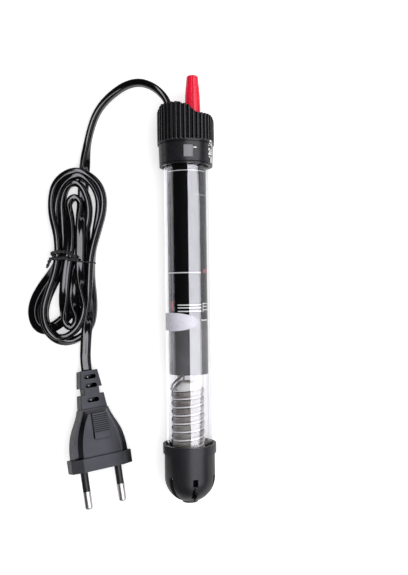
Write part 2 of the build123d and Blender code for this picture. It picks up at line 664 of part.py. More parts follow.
TERMINAL_X = -5.5
TERMINAL_Z = AXIS_Z + 2.0
POST_BACK = BLADE_ROOT + LOOSE_FIT + POST_LENGTH
lead([(CORD_X, STOPPER_END, LIVE_Z), (CORD_X, PLATE_END - 2, LIVE_Z),
      (-1.2, PLATE_END - 7, AXIS_Z + 0.4), (-1.2, POST_BACK, AXIS_Z + 0.4)], "live_lead")
lead([(CORD_X, STOPPER_END, AXIS_Z - CORE_SPREAD),
      (CORD_X, STOPPER_END - 8, AXIS_Z - CORE_SPREAD),
      (CORD_X, STOPPER_END - 14, NEUTRAL_Z), (CORD_X, FORMER_TOP, NEUTRAL_Z)], "neutral_lead")
STRIP_END = FIXED_FOOT_Y - STRIP_FOOT - STRIP_THICK / 2
lead([(0, STRIP_END, BOARD_TOP + LEAD_R), (0, STRIP_END - 5, BOARD_TOP + LEAD_R),
      (TERMINAL_X, BOARD_END + 4, TERMINAL_Z), (TERMINAL_X, SLEEVE_END, TERMINAL_Z)],
     "element_lead")

# ---- element ----------------------------------------------------------------------

with BuildPart() as mica_discs:
    for top in (SLEEVE_END + 2 * MICA_THICK + MICA_GAP, SLEEVE_END + MICA_THICK):
        with BuildSketch(across(top)):
            Circle(CARRIER_R)
            with Locations((CORD_X, -NEUTRAL_DROP), (TERMINAL_X, TERMINAL_Z - AXIS_Z)):
                Circle(LEAD_R + SLEEVE_FIT, mode=Mode.SUBTRACT)
            with Locations((-SUPPORT_X, 0), (SUPPORT_X, 0)):
                Circle(SUPPORT_R + SLEEVE_FIT, mode=Mode.SUBTRACT)
        extrude(amount=MICA_THICK)
keep(mica_discs, "mica_discs")

with BuildPart() as ceramic_former:
    with BuildSketch(across(FORMER_TOP)):
        Circle(FORMER_CORE_R)
    extrude(amount=FORMER_TOP - FORMER_END)
    for top, length in ((FORMER_TOP, FORMER_HEAD), (FORMER_END + FORMER_FOOT, FORMER_FOOT)):
        with BuildSketch(across(top)):
            Circle(FORMER_HEAD_R)
        extrude(amount=length)
    with BuildSketch(across(FORMER_TOP)):
        with Locations((-SUPPORT_X, 0), (SUPPORT_X, 0)):
            Circle(SUPPORT_R + SLEEVE_FIT)
    extrude(amount=REACH, mode=Mode.SUBTRACT)
keep(ceramic_former, "ceramic_former")

COIL_ROOM = (FORMER_TOP - FORMER_HEAD - FORMER_END - FORMER_FOOT - 2 * COIL_WIRE_R
             - 2 * LOOSE_FIT)
COIL_TURNS = int(COIL_ROOM / COIL_PITCH)
COIL_BOTTOM = FORMER_END + FORMER_FOOT + COIL_WIRE_R + LOOSE_FIT

with BuildPart() as heating_coil:
    with BuildLine() as winding:
        Helix(COIL_PITCH, COIL_TURNS * COIL_PITCH, COIL_R, center=(0, COIL_BOTTOM, AXIS_Z),
              direction=(0, 1, 0))
    with BuildSketch(Plane(origin=winding.wires()[0] @ 0, z_dir=winding.wires()[0] % 0)):
        Circle(COIL_WIRE_R)
    sweep(path=winding.wires()[0], is_frenet=True)
keep(heating_coil, "heating_coil")

with BuildPart() as coil_terminals:
    with BuildSketch(across(SLEEVE_END, 0, AXIS_Z)):
        with Locations(((TONGUE_X[0] + TONGUE_X[1]) / 2, TONGUE_RISE)):
            Rectangle(TONGUE_X[1] - TONGUE_X[0], TONGUE_THICK)
        with Locations((TERMINAL_X, TERMINAL_Z - AXIS_Z)):
            Rectangle(TONGUE_THICK, TONGUE_X[1] - TONGUE_X[0])
    extrude(amount=FORMER_GAP)
keep(coil_terminals, "coil_terminals")

with BuildPart() as support_wires:
    with BuildSketch(across(BOARD_END)):
        with Locations((-SUPPORT_X, 0), (SUPPORT_X, 0)):
            Circle(SUPPORT_R)
    extrude(amount=BOARD_END - FORMER_END)
keep(support_wires, "support_wires")

with BuildPart() as former_cushion:
    with BuildSketch(across(FORMER_END)):
        Circle(CUSHION_R)
    extrude(amount=CUSHION_LENGTH)
    fillet(former_cushion.edges().sort_by(Axis.Y)[0], 1.5)
keep(former_cushion, "former_cushion")

# ---- foot -------------------------------------------------------------------------

FOOT_DOME_Y = FOOT_END + FOOT_BUTTON_RISE + sqrt(FOOT_R ** 2 - FOOT_BUTTON_R ** 2)
FOOT_INNER_R = SOCKET_R

with BuildPart() as foot_cover:
    with BuildSketch(level(AXIS_Z)):
        with BuildLine():
            rim_end = FOOT_TOP - FOOT_RIM_LENGTH
            Polyline((SOCKET_R, FOOT_TOP), (FOOT_RIM_R, FOOT_TOP), (FOOT_RIM_R, rim_end),
                     (FOOT_R, rim_end), (FOOT_R, FOOT_DOME_Y))
            CenterArc((0, FOOT_DOME_Y), FOOT_R, 0, -90)
            Line((0, FOOT_DOME_Y - FOOT_R), (0, FOOT_DOME_Y - FOOT_INNER_R))
            CenterArc((0, FOOT_DOME_Y), FOOT_INNER_R, -90, 90)
            Line((FOOT_INNER_R, FOOT_DOME_Y), (SOCKET_R, FOOT_TOP))
        make_face()
    revolve(axis=TUBE_AXIS)
    # slots run from the wall to the button at the end
    with BuildSketch(across(FOOT_END + FOOT_SLOT_LENGTH)):
        for index in range(FOOT_SLOTS):
            angle = 90 - FOOT_SLOT_ANGLE + index * 360 / FOOT_SLOTS
            with Locations(Location((0, 0, 0), (0, 0, angle))):
                with Locations((FOOT_BUTTON_R + FOOT_R / 2, 0)):
                    Rectangle(FOOT_R, FOOT_SLOT_WIDTH)
    extrude(amount=REACH, mode=Mode.SUBTRACT)
    with BuildSketch(across(FOOT_DOME_Y - FOOT_INNER_R - FOOT_BUTTON_RISE / 2)):
        Circle(FOOT_BUTTON_R)
    extrude(amount=FOOT_DOME_Y - FOOT_INNER_R - FOOT_BUTTON_RISE / 2 - FOOT_END)
    # mouth is wider than the glass, with tabs that grip it
    with BuildSketch(across(FOOT_TOP)):
        Circle(GLASS_R + FOOT_MOUTH_FIT)
        for index in range(FOOT_TAB_COUNT):
            with Locations(Location((0, 0, 0), (0, 0, (index + 0.5) * 360 / FOOT_TAB_COUNT))):
                with Locations((GLASS_R + 1, 0)):
                    Rectangle(3, FOOT_TAB_WIDTH, mode=Mode.SUBTRACT)
    extrude(amount=FOOT_MOUTH_DEPTH, mode=Mode.SUBTRACT)
keep(foot_cover, "foot_cover")

# ---- plug -------------------------------------------------------------------------

heading = radians(PLUG_HEADING)
roll = radians(PLUG_ROLL)
pitch = radians(PLUG_PITCH)
pins_way = Vector(sin(heading) * cos(pitch), -cos(heading) * cos(pitch), sin(pitch))
level_side = Vector(cos(heading), sin(heading), 0)
rise_side = pins_way.cross(level_side)
plug_side = level_side * cos(roll) - rise_side * sin(roll)
plug_up = pins_way.cross(plug_side)

# The base's lower edge lies on the surface: its end facet is level across the roll.
END_HALF_HEIGHT = BASE_HALF_HEIGHT - (BASE_HALF_WIDTH - BASE_FLAT) * tan(roll)
base_corners = [(BASE_FLAT, BASE_HALF_HEIGHT), (BASE_HALF_WIDTH, END_HALF_HEIGHT)]
reach_down = max(-(x * plug_side.Z + y * plug_up.Z)
                 for x, y in [(BASE_FLAT, -BASE_HALF_HEIGHT), (BASE_HALF_WIDTH, -END_HALF_HEIGHT)])
PLUG_Z = reach_down + BASE_DEPTH * sin(pitch)

plug_origin = Vector(PLUG_FACE[0], PLUG_FACE[1], PLUG_Z)
PLUG = Plane(origin=plug_origin, x_dir=plug_side, z_dir=pins_way)
# Its Y runs back from the engagement face to the cord.
PLUG_TOP_VIEW = Plane(origin=plug_origin, x_dir=plug_side, z_dir=plug_up)

BODY_SIDE = [(14.5, BASE_DEPTH), (14.2, 12.0), (12.4, 19.5), (9.2, 26.0), (7.4, BODY_END)]
CROWN_SIDE = [(12.2, BASE_DEPTH), (11.9, 13.0), (10.4, 20.0), (7.9, 26.2), (6.6, 30.4)]
RELIEF_SIDE = [(7.2, BODY_END), (6.4, RELIEF_WAIST[0]), (4.2, RELIEF_WAIST[0]),
               (4.2, RELIEF_WAIST[1]), (6.0, RELIEF_WAIST[1]), (4.7, RELIEF_END)]


def mirrored(side):
    """The same outline on the other side, in the opposite order."""
    return [(-x, y) for x, y in reversed(side)]


with BuildPart() as plug_base:
    with BuildSketch(PLUG):
        with BuildLine():
            upper = mirrored(base_corners) + base_corners
            Polyline(*upper, *[(x, -y) for x, y in reversed(upper)], close=True)
        make_face()
    extrude(amount=-BASE_DEPTH)
    fillet(plug_base.edges(), PLUG_EDGE / 2)
    with BuildSketch(PLUG):
        with Locations((-PIN_SPREAD, 0), (PIN_SPREAD, 0)):
            Circle(PIN_NECK_R)
    extrude(amount=-PIN_TAIL, mode=Mode.SUBTRACT)
keep(plug_base, "plug_base")

with BuildPart() as plug_body:
    with BuildSketch(PLUG_TOP_VIEW):
        with BuildLine():
            Spline(*BODY_SIDE)
            Line(BODY_SIDE[-1], mirrored(BODY_SIDE)[0])
            Spline(*mirrored(BODY_SIDE))
            Line(mirrored(BODY_SIDE)[-1], BODY_SIDE[0])
        make_face()
    extrude(amount=BODY_HALF_THICK, both=True)
    # raised crown on both faces, with sloped flanks
    for side in (1, -1):
        for inset, rise in ((0, 0), (CROWN_INSET, CROWN_HEIGHT)):
            with BuildSketch(PLUG_TOP_VIEW.offset(side * (BODY_HALF_THICK + rise))):
                with BuildLine():
                    flank = [(x - inset, y) for x, y in CROWN_SIDE[:-1]]
                    flank.append((CROWN_SIDE[-1][0] - inset, CROWN_SIDE[-1][1] - inset))
                    Spline(*flank)
                    Line(flank[-1], mirrored(flank)[0])
                    Spline(*mirrored(flank))
                    Line(mirrored(flank)[-1], flank[0])
                make_face()
        loft()
    # the body's rear face is flat against the base
    with BuildSketch(PLUG):
        Rectangle(REACH, REACH)
    extrude(amount=-BASE_DEPTH, mode=Mode.SUBTRACT)
    # raised grip pad on the front, with ribs across it
    with BuildSketch(PLUG_TOP_VIEW.offset(BODY_HALF_THICK)):
        with Locations((GRIP_X, GRIP_START + GRIP_PAD[1] / 2)):
            Rectangle(GRIP_PAD[0], GRIP_PAD[1])
    extrude(amount=CROWN_HEIGHT + GRIP_RISE)
    rib_pitch = (GRIP_PAD[1] - GRIP_PLAIN) / (GRIP_RIBS + 1)
    ribs_start = GRIP_START + GRIP_PLAIN
    with BuildSketch(PLUG_TOP_VIEW.offset(BODY_HALF_THICK + CROWN_HEIGHT + GRIP_RISE)):
        with Locations(*[(GRIP_X, ribs_start + (rib + 1) * rib_pitch) for rib in range(GRIP_RIBS)]):
            Rectangle(GRIP_PAD[0], rib_pitch / 2)
    extrude(amount=-GRIP_RIB_DEPTH, mode=Mode.SUBTRACT)
keep(plug_body, "plug_body")

with BuildPart() as plug_strain_relief:
    with BuildSketch(PLUG_TOP_VIEW):
        with BuildLine():
            Polyline(*RELIEF_SIDE, *mirrored(RELIEF_SIDE), close=True)
        make_face()
    extrude(amount=RELIEF_HALF_THICK, both=True)
    fillet(plug_strain_relief.edges(), PLUG_EDGE / 2)
    # slots across both faces, with a small hole through the web between them
    for side in (-1, 1):
        with BuildSketch(PLUG_TOP_VIEW.offset(side * RELIEF_WEB / 2)):
            with Locations(*[(0, y) for y in RELIEF_SLOTS]):
                SlotCenterToCenter(2 * (RELIEF_SLOT_HALF - RELIEF_SLOT_R), 2 * RELIEF_SLOT_R)
        extrude(amount=side * RELIEF_HALF_THICK, mode=Mode.SUBTRACT)
    with BuildSketch(PLUG_TOP_VIEW):
        with Locations(*[(0, y) for y in RELIEF_SLOTS]):
            Circle(RELIEF_HOLE_R)
    extrude(amount=RELIEF_WEB, both=True, mode=Mode.SUBTRACT)
keep(plug_strain_relief, "plug_strain_relief")

with BuildPart() as plug_pins:
    for side in (-1, 1):
        with BuildSketch(PLUG.offset(-PIN_TAIL)):
            with Locations((side * PIN_SPREAD, 0)):
                Circle(PIN_NECK_R)
        extrude(amount=PIN_TAIL + SLEEVE_LENGTH)
        with BuildSketch(PLUG.offset(SLEEVE_LENGTH)):
            with Locations((side * PIN_SPREAD, 0)):
                Circle(PIN_R)
        extrude(amount=PIN_LENGTH - SLEEVE_LENGTH)
    tips = Axis(tuple(plug_origin), tuple(pins_way))
    fillet(plug_pins.edges().sort_by(tips)[-2:], PIN_TIP)
keep(plug_pins, "plug_pins")

with BuildPart() as plug_sleeves:
    with BuildSketch(PLUG):
        with Locations((-PIN_SPREAD, 0), (PIN_SPREAD, 0)):
            Circle(PIN_SLEEVE_R)
            Circle(PIN_NECK_R, mode=Mode.SUBTRACT)
    extrude(amount=SLEEVE_LENGTH)
keep(plug_sleeves, "plug_sleeves")

# ---- cord to the plug -------------------------------------------------------------

relief_middle = plug_origin - pins_way * RELIEF_END
relief_exit = relief_middle - pins_way * 6.0
PLUG_ROUTE = [tuple(relief_middle), tuple(relief_exit), (-54.7, -31.0, 2.8), (-54.7, -25.0, 2.8)]
cord_to_plug = cord_tube(PLUG_ROUTE, flat_section(CORD_WIDTH, CORD_THICK),
                         Plane(origin=relief_middle, x_dir=rise_side, z_dir=pins_way * -1))
report_cord("cord_to_plug", cord_to_plug, PLUG_ROUTE, CORD_AREA)
keep(cord_to_plug, "cord_to_plug")

# ---- hank and tie -----------------------------------------------------------------

HANK_OUTLINE = [
    (-49.4, 65.6), (-42.6, 54.0), (-42.4, 40.0), (-49.3, 25.0), (-49.3, 14.0), (-48.6, -4.0),
    (-50.2, -25.0), (-60.0, -25.0), (-68.0, -29.2), (-80.0, -24.8), (-86.2, -11.4), (-79.0, 4.0),
    (-71.0, 16.0), (-71.4, 26.0), (-75.0, 44.0), (-71.0, 58.0), (-62.4, 65.6),
]
TIE = Plane(origin=(TIE_MIDDLE[0], TIE_MIDDLE[1], HANK_HEIGHT / 2),
            x_dir=(cos(radians(TIE_TILT)), -sin(radians(TIE_TILT)), 0),
            z_dir=(-sin(radians(TIE_TILT)), -cos(radians(TIE_TILT)), 0))
TIE_CORNER_R = 3.6
TIE_HALF_RISE = HANK_HEIGHT / 2 - 0.3

with BuildPart() as cord_hank:
    with BuildSketch(level(0)):
        with BuildLine():
            FilletPolyline(*HANK_OUTLINE, radius=2.0, close=True)
        make_face()
    extrude(amount=HANK_HEIGHT)
    # waist where the tie goes round
    inner_span = TIE_HALF_SPAN - TIE_THICK - TIE_FIT
    inner_rise = TIE_HALF_RISE - TIE_THICK - TIE_FIT
    with BuildSketch(TIE.offset(-TIE_WIDTH / 2 - TIE_FIT)):
        Rectangle(4 * TIE_HALF_SPAN, 4 * TIE_HALF_RISE)
        RectangleRounded(2 * inner_span, 2 * inner_rise, TIE_CORNER_R - TIE_THICK,
                         mode=Mode.SUBTRACT)
    extrude(amount=TIE_WIDTH + 2 * TIE_FIT, mode=Mode.SUBTRACT)
keep(cord_hank, "cord_hank")

with BuildPart() as cord_tie:
    with BuildSketch(TIE.offset(-TIE_WIDTH / 2)):
        RectangleRounded(2 * TIE_HALF_SPAN, 2 * TIE_HALF_RISE, TIE_CORNER_R)
        RectangleRounded(2 * (TIE_HALF_SPAN - TIE_THICK), 2 * (TIE_HALF_RISE - TIE_THICK),
                         TIE_CORNER_R - TIE_THICK, mode=Mode.SUBTRACT)
    extrude(amount=TIE_WIDTH)
keep(cord_tie, "cord_tie")
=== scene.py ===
import json
import math

import bpy
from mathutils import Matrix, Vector
from mathutils.bvhtree import BVHTree


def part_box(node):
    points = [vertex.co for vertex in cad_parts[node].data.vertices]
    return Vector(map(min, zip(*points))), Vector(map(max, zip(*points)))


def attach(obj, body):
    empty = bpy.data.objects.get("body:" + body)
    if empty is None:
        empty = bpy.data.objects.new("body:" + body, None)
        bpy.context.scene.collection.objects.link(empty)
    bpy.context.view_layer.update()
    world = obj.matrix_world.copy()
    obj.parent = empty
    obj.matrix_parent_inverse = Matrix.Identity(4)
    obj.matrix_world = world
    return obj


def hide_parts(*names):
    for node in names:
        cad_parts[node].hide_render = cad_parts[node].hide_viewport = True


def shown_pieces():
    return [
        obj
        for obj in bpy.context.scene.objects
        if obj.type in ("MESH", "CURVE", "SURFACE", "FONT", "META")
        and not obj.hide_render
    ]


# Looks of the submersible aquarium heater. Lengths are written in millimetres and
# turned into metres by MM. The heater lies along +Y with its cap at +Y; +Z is up.

MM = 0.001

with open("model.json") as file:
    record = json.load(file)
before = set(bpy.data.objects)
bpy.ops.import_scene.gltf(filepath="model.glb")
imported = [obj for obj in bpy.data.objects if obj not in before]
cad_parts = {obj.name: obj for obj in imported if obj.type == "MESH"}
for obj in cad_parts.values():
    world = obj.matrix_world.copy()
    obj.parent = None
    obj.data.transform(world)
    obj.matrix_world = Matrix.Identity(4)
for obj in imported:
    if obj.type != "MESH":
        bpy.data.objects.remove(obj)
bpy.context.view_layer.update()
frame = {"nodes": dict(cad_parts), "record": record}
nodes = frame["nodes"]

# ---- sizes shared with the frame ---------------------------------------------------

axis_z = sum(corner.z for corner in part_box("glass_tube")) / 2 / MM
glass_r = (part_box("glass_tube")[1].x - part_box("glass_tube")[0].x) / 2 / MM
sleeve_r = (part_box("printed_sleeve")[1].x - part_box("printed_sleeve")[0].x) / 2 / MM
former_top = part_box("ceramic_former")[1].y / MM
former_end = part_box("ceramic_former")[0].y / MM


def place(x, y, z):
    """A point given in millimetres."""
    return Vector((x, y, z)) * MM


# ---- camera ------------------------------------------------------------------------

CAMERA_PLACE = (8.5, 0.4, 365)
CAMERA_ROLL = -0.75         # degrees
LENS = 42.39
SENSOR_WIDTH = 36
NEAREST_SEEN = 0.01         # metres

camera = bpy.data.objects.new("camera", bpy.data.cameras.new("camera"))
bpy.context.scene.collection.objects.link(camera)
camera.location = place(*CAMERA_PLACE)
camera.rotation_euler = (0, 0, math.radians(CAMERA_ROLL))
camera.data.lens = LENS
camera.data.sensor_width = SENSOR_WIDTH
camera.data.clip_start = NEAREST_SEEN
bpy.context.scene.camera = camera
bpy.context.scene.view_settings.view_transform = "Standard"

# ---- materials ---------------------------------------------------------------------

NOISE_LOW, NOISE_HIGH = 0.3, 0.7        # most of a noise lies between these
PATCH_SCALE = 90.0          # colour patches on a moulding; a higher scale is finer
GLOSS_SCALE = 400.0         # uneven gloss on a moulding
GRAIN_BUMP = 0.35
# Painted shade in grooves and creases, taken from ambient occlusion in the material.
CLOSED_IN, OPEN_AIR = 0.35, 0.95        # occlusion where a groove's painted shade is darkest, and where it ends
PAINTED_SHADE_SAMPLES = 8
PAINTED_SHADE_SHARE = 0.1          # painted shade: colour in a groove's depth, as a share of the open colour
GLASS_ROUGH, SMEAR_ROUGH = 0.02, 0.05
SMEAR_SCALE = 60.0
EDGE_POWER = 5.0            # how quickly a reflection grows toward an edge
FROST_SCALE = 300.0
FROST_SHIFT = 0.03          # how much the frost varies either way
BANDS_AT_SCALE_1 = 3.14     # about how many lines a wave texture of scale 1 has in one unit
METAL_PATCH_SCALE = 150.0
METAL_GLOSS_SCALE = 500.0
METAL_DARK, METAL_LIGHT = 0.85, 1.12    # shares of the metal's colour
METAL_SMOOTH, METAL_WORN = 0.05, 0.07   # less and more than its roughness
LINE_BUMP = 0.4


class Surface:
    """A material whose nodes are added one at a time."""

    def __init__(self, name):
        self.material = bpy.data.materials.new(name)
        self.material.use_nodes = True
        self.tree = self.material.node_tree
        self.tree.nodes.clear()
        self.output = self.add("ShaderNodeOutputMaterial")
        self.place = self.add("ShaderNodeTexCoord").outputs["Object"]

    def add(self, kind, inputs=None, **settings):
        """Adds a node. An input's value is a number, a colour or another node's output."""
        node = self.tree.nodes.new(kind)
        for key, value in settings.items():
            setattr(node, key, value)
        for key, value in (inputs or {}).items():
            if isinstance(value, bpy.types.NodeSocket):
                self.tree.links.new(value, node.inputs[key])
            else:
                node.inputs[key].default_value = value
        return node

    def noise(self, scale, detail=3.0):
        return self.add("ShaderNodeTexNoise", {"Vector": self.place, "Scale": scale,
                                               "Detail": detail}).outputs["Fac"]

    def spread(self, value, low, high):
        """Maps a noise to low and high."""
        return self.add("ShaderNodeMapRange", {"Value": value, "From Min": NOISE_LOW,
                                               "From Max": NOISE_HIGH, "To Min": low,
                                               "To Max": high}).outputs["Result"]

    def tint(self, value, dark, light):
        """Colour between dark and light. Each is a colour or another node's output."""
        ends = {key: end if isinstance(end, bpy.types.NodeSocket) else (*end, 1)
                for key, end in (("A", dark), ("B", light))}
        return self.add("ShaderNodeMix", {"Factor": value, **ends},
                        data_type="RGBA").outputs["Result"]

    def calculate(self, operation, *values):
        return self.add("ShaderNodeMath", dict(enumerate(values)), operation=operation).outputs[0]

    def bump(self, height, strength, distance, under=None):
        """Bump of a height, its distance in millimetres, on top of another bump's normal."""
        inputs = {"Height": height, "Strength": strength, "Distance": distance * MM}
        if under is not None:
            inputs["Normal"] = under
        return self.add("ShaderNodeBump", inputs).outputs["Normal"]

    def blend(self, share, first, second):
        """Mixes two shaders, share of the second, and finishes the material."""
        mix = self.add("ShaderNodeMixShader", {"Fac": share, 1: first, 2: second})
        return self.finish(mix.outputs["Shader"])

    def finish(self, shader):
        self.tree.links.new(shader, self.output.inputs["Surface"])
        return self.material


def rib_normal(surface, count, start, rounding):
    """Normal that rounds the ribs round the tube's axis, from a height upward."""
    at = surface.add("ShaderNodeSeparateXYZ", {"Vector": surface.place}).outputs
    above = surface.calculate("SUBTRACT", at["Z"], axis_z * MM)
    turn = surface.calculate("ARCTAN2", above, at["X"])
    crest = surface.calculate("COSINE", surface.calculate("MULTIPLY", turn, count))
    ribbed = surface.calculate("GREATER_THAN", at["Y"], start * MM)
    return surface.bump(surface.calculate("MULTIPLY", crest, ribbed), 1.0, rounding)


def moulded(name, colour, rough, grain=2500.0, depth=0.03, specular=0.5, metallic=0.0,
            shift=0.15, rough_shift=0.06, painted_shade_reach=0.0, ribs=None):
    """Moulded plastic, rubber or metal: fine grain, slight mottling, uneven gloss.
    Grooves narrower than the given reach, in millimetres, get painted shade: ambient occlusion
    darkens their colour and weakens their specular. ribs is the number of ribs round
    the tube's axis, where they start and how much they are rounded."""
    surface = Surface(name)
    base = surface.tint(surface.spread(surface.noise(PATCH_SCALE), 0.0, 1.0),
                        [c * (1 - shift) for c in colour],
                        [min(1.0, c * (1 + shift)) for c in colour])
    # Painted shade: ambient occlusion darkens the colour in grooves and creases and weakens their
    # specular.
    if painted_shade_reach:
        unshaded = surface.add("ShaderNodeAmbientOcclusion", {"Distance": painted_shade_reach * MM},
                               samples=PAINTED_SHADE_SAMPLES).outputs["AO"]
        unshaded = surface.add("ShaderNodeMapRange", {"Value": unshaded, "From Min": CLOSED_IN,
                                                      "From Max": OPEN_AIR}).outputs["Result"]
        base = surface.tint(unshaded, [c * PAINTED_SHADE_SHARE for c in colour], base)
        specular = surface.calculate("MULTIPLY", unshaded, specular)
    gloss = surface.noise(GLOSS_SCALE)
    shader = surface.add("ShaderNodeBsdfPrincipled", {
        "Base Color": base,
        "Roughness": surface.spread(gloss, rough - rough_shift, rough + rough_shift),
        "Metallic": metallic,
        "Specular IOR Level": specular,
        "Normal": surface.bump(surface.noise(grain, 2.0), GRAIN_BUMP, depth,
                               rib_normal(surface, *ribs) if ribs else None),
    })
    return surface.finish(shader.outputs["BSDF"])


def clear(name, tint, ior):
    """Thin clear glass or moulding: see-through, with reflections that grow at the edges."""
    surface = Surface(name)
    through = surface.add("ShaderNodeBsdfTransparent", {"Color": (*tint, 1)})
    smears = surface.spread(surface.noise(SMEAR_SCALE), GLASS_ROUGH, SMEAR_ROUGH)
    shine = surface.add("ShaderNodeBsdfGlossy", {"Color": (1, 1, 1, 1), "Roughness": smears})
    slant = surface.add("ShaderNodeLayerWeight", {"Blend": 0.5}).outputs["Facing"]
    slant = surface.calculate("POWER", slant, EDGE_POWER)
    edge = surface.add("ShaderNodeMapRange", {"Value": slant,
                                              "To Min": ((ior - 1) / (ior + 1)) ** 2})
    return surface.blend(edge.outputs["Result"], through.outputs["BSDF"], shine.outputs["BSDF"])


def frosted(name, colour, body):
    """Milky clear moulding. body is how much of what lies behind is hidden."""
    surface = Surface(name)
    through = surface.add("ShaderNodeBsdfTransparent")
    haze = surface.spread(surface.noise(FROST_SCALE), body - FROST_SHIFT, body + FROST_SHIFT)
    milk = surface.add("ShaderNodeBsdfPrincipled", {"Base Color": (*colour, 1), "Roughness": 0.3,
                                                    "Specular IOR Level": 0.2})
    return surface.blend(haze, through.outputs["BSDF"], milk.outputs["BSDF"])


def turned(name, colour, rough, direction, pitch, depth):
    """Metal with fine parallel lines across one direction, as on a turned or drawn piece."""
    surface = Surface(name)
    lines = surface.add("ShaderNodeTexWave", {"Vector": surface.place,
                                              "Scale": 1 / (pitch * MM) / BANDS_AT_SCALE_1,
                                              "Distortion": 0.6, "Detail": 1.0},
                        bands_direction=direction)
    shader = surface.add("ShaderNodeBsdfPrincipled", {
        "Base Color": surface.tint(surface.spread(surface.noise(METAL_PATCH_SCALE), 0.0, 1.0),
                                   [c * METAL_DARK for c in colour],
                                   [min(1.0, c * METAL_LIGHT) for c in colour]),
        "Roughness": surface.spread(surface.noise(METAL_GLOSS_SCALE), rough - METAL_SMOOTH,
                                    rough + METAL_WORN),
        "Metallic": 1.0,
        "Normal": surface.bump(lines.outputs["Fac"], LINE_BUMP, depth),
    })
    return surface.finish(shader.outputs["BSDF"])


CAP_RIBS = (40, 74.6, 0.24)  # how many, their lower end and their rounding

# The cap, knob, coil wire and plug get painted shade in their grooves, from ambient occlusion.
MATERIALS = {
    "cap_plastic": moulded("cap_plastic", (0.014, 0.014, 0.016), 0.28, painted_shade_reach=1.6,
                           ribs=CAP_RIBS),
    "foot_plastic": moulded("foot_plastic", (0.016, 0.016, 0.019), 0.36),
    "red_plastic": moulded("red_plastic", (0.97, 0.012, 0.05), 0.25, depth=0.01, painted_shade_reach=0.9,
                           shift=0.04),
    "spindle_metal": turned("spindle_metal", (0.62, 0.62, 0.63), 0.3, "Y", 0.2, 0.02),
    "spring_steel": moulded("spring_steel", (0.55, 0.55, 0.56), 0.32, metallic=1.0),
    "seal_rubber": moulded("seal_rubber", (0.02, 0.02, 0.02), 0.6),
    "window_clear": frosted("window_clear", (0.36, 0.36, 0.38), 0.62),
    "indicator_grey": moulded("indicator_grey", (0.42, 0.42, 0.44), 0.5, specular=0.2),
    "tube_glass": clear("tube_glass", (0.982, 0.98, 0.99), 1.65),
    "black_sleeve": moulded("black_sleeve", (0.0015, 0.0015, 0.002), 0.5, specular=0.08),
    "grey_sleeve": moulded("grey_sleeve", (0.125, 0.125, 0.127), 0.6, specular=0.1),
    "carrier_plastic": moulded("carrier_plastic", (0.6, 0.58, 0.54), 0.5),
    "terminal_brass": moulded("terminal_brass", (0.7, 0.52, 0.24), 0.3, metallic=1.0),
    "contact_metal": moulded("contact_metal", (0.85, 0.84, 0.82), 0.18, metallic=1.0),
    "magnet_iron": moulded("magnet_iron", (0.09, 0.09, 0.1), 0.4, metallic=0.8),
    "lamp_glass": clear("lamp_glass", (0.95, 0.75, 0.6), 1.5),
    "resistor_body": moulded("resistor_body", (0.5, 0.4, 0.25), 0.35),
    "capacitor_body": moulded("capacitor_body", (0.05, 0.15, 0.5), 0.3),
    "lead_insulation": moulded("lead_insulation", (0.75, 0.74, 0.7), 0.6),
    "mica": moulded("mica", (0.45, 0.4, 0.3), 0.4),
    "ceramic_white": moulded("ceramic_white", (0.86, 0.86, 0.85), 0.45, shift=0.05),
    "heater_wire": moulded("heater_wire", (0.85, 0.76, 0.71), 0.45, metallic=0.4, shift=0.3,
                           painted_shade_reach=1.9),
    "terminal_nickel": moulded("terminal_nickel", (0.5, 0.5, 0.5), 0.35, metallic=0.9),
    # Painted shade: the cushion inside the foot is coloured near black so that the foot's slots
    # read dark; real glass wool is pale.
    "glass_wool": moulded("glass_wool", (0.008, 0.008, 0.008), 0.95, grain=900.0, depth=0.1,
                          specular=0.0, rough_shift=0.02),
    "cord_pvc": moulded("cord_pvc", (0.003, 0.003, 0.0036), 0.12, depth=0.01, rough_shift=0.02),
    "tie_plastic": moulded("tie_plastic", (0.012, 0.012, 0.013), 0.4),
    "plug_plastic": moulded("plug_plastic", (0.013, 0.013, 0.0155), 0.36, depth=0.04, painted_shade_reach=1.2),
    "pin_nickel": moulded("pin_nickel", (0.92, 0.89, 0.87), 0.38, metallic=1.0, shift=0.04),
    "pin_sleeve_plastic": moulded("pin_sleeve_plastic", (0.012, 0.012, 0.014), 0.35),
}

for part in frame["record"]["subparts"]:
    mesh = nodes[part["node"]].data
    mesh.materials.clear()
    mesh.materials.append(MATERIALS[part["material_slot"]])

MARK_WHITE = moulded("mark_white", (0.9, 0.9, 0.9), 0.5, shift=0.04)
MARK_FAINT = moulded("mark_faint", (0.3, 0.3, 0.3), 0.5)
LEAD_METAL = moulded("lead_metal", (0.3, 0.29, 0.28), 0.35, metallic=0.8, shift=0.3)
MARK_RED = moulded("mark_red", (0.36, 0.015, 0.025), 0.5)
BADGE_SILVER = moulded("badge_silver", (0.72, 0.71, 0.80), 0.3, shift=0.06)

# ---- making pieces -----------------------------------------------------------------


def piece(name, vertices, faces, material, slot):
    """A smooth mesh that rides on the root body, its vertices in millimetres."""
    mesh = bpy.data.meshes.new(name)
    mesh.from_pydata([Vector(v) * MM for v in vertices], [], faces)
    mesh.materials.append(material)
    mesh.shade_smooth()
    mesh.validate()
    obj = bpy.data.objects.new(name, mesh)
    bpy.context.scene.collection.objects.link(obj)
    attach(obj, "root")
    return obj


def loft(rings):
    """Vertices and faces of a skin over rings of equal count, capped at both ends."""
    count = len(rings[0])
    vertices = [point for ring in rings for point in ring]
    faces = []
    for i in range(len(rings) - 1):
        here, there = i * count, (i + 1) * count
        for j in range(count):
            k = (j + 1) % count
            faces.append((here + j, here + k, there + k, there + j))
    faces.append(tuple(reversed(range(count))))
    faces.append(tuple(range(len(vertices) - count, len(vertices))))
    return vertices, faces


def sheet_faces(rows, columns):
    """Faces of a grid of rows times columns points."""
    return [(r * columns + c, r * columns + c + 1, (r + 1) * columns + c + 1,
             (r + 1) * columns + c) for r in range(rows - 1) for c in range(columns - 1)]


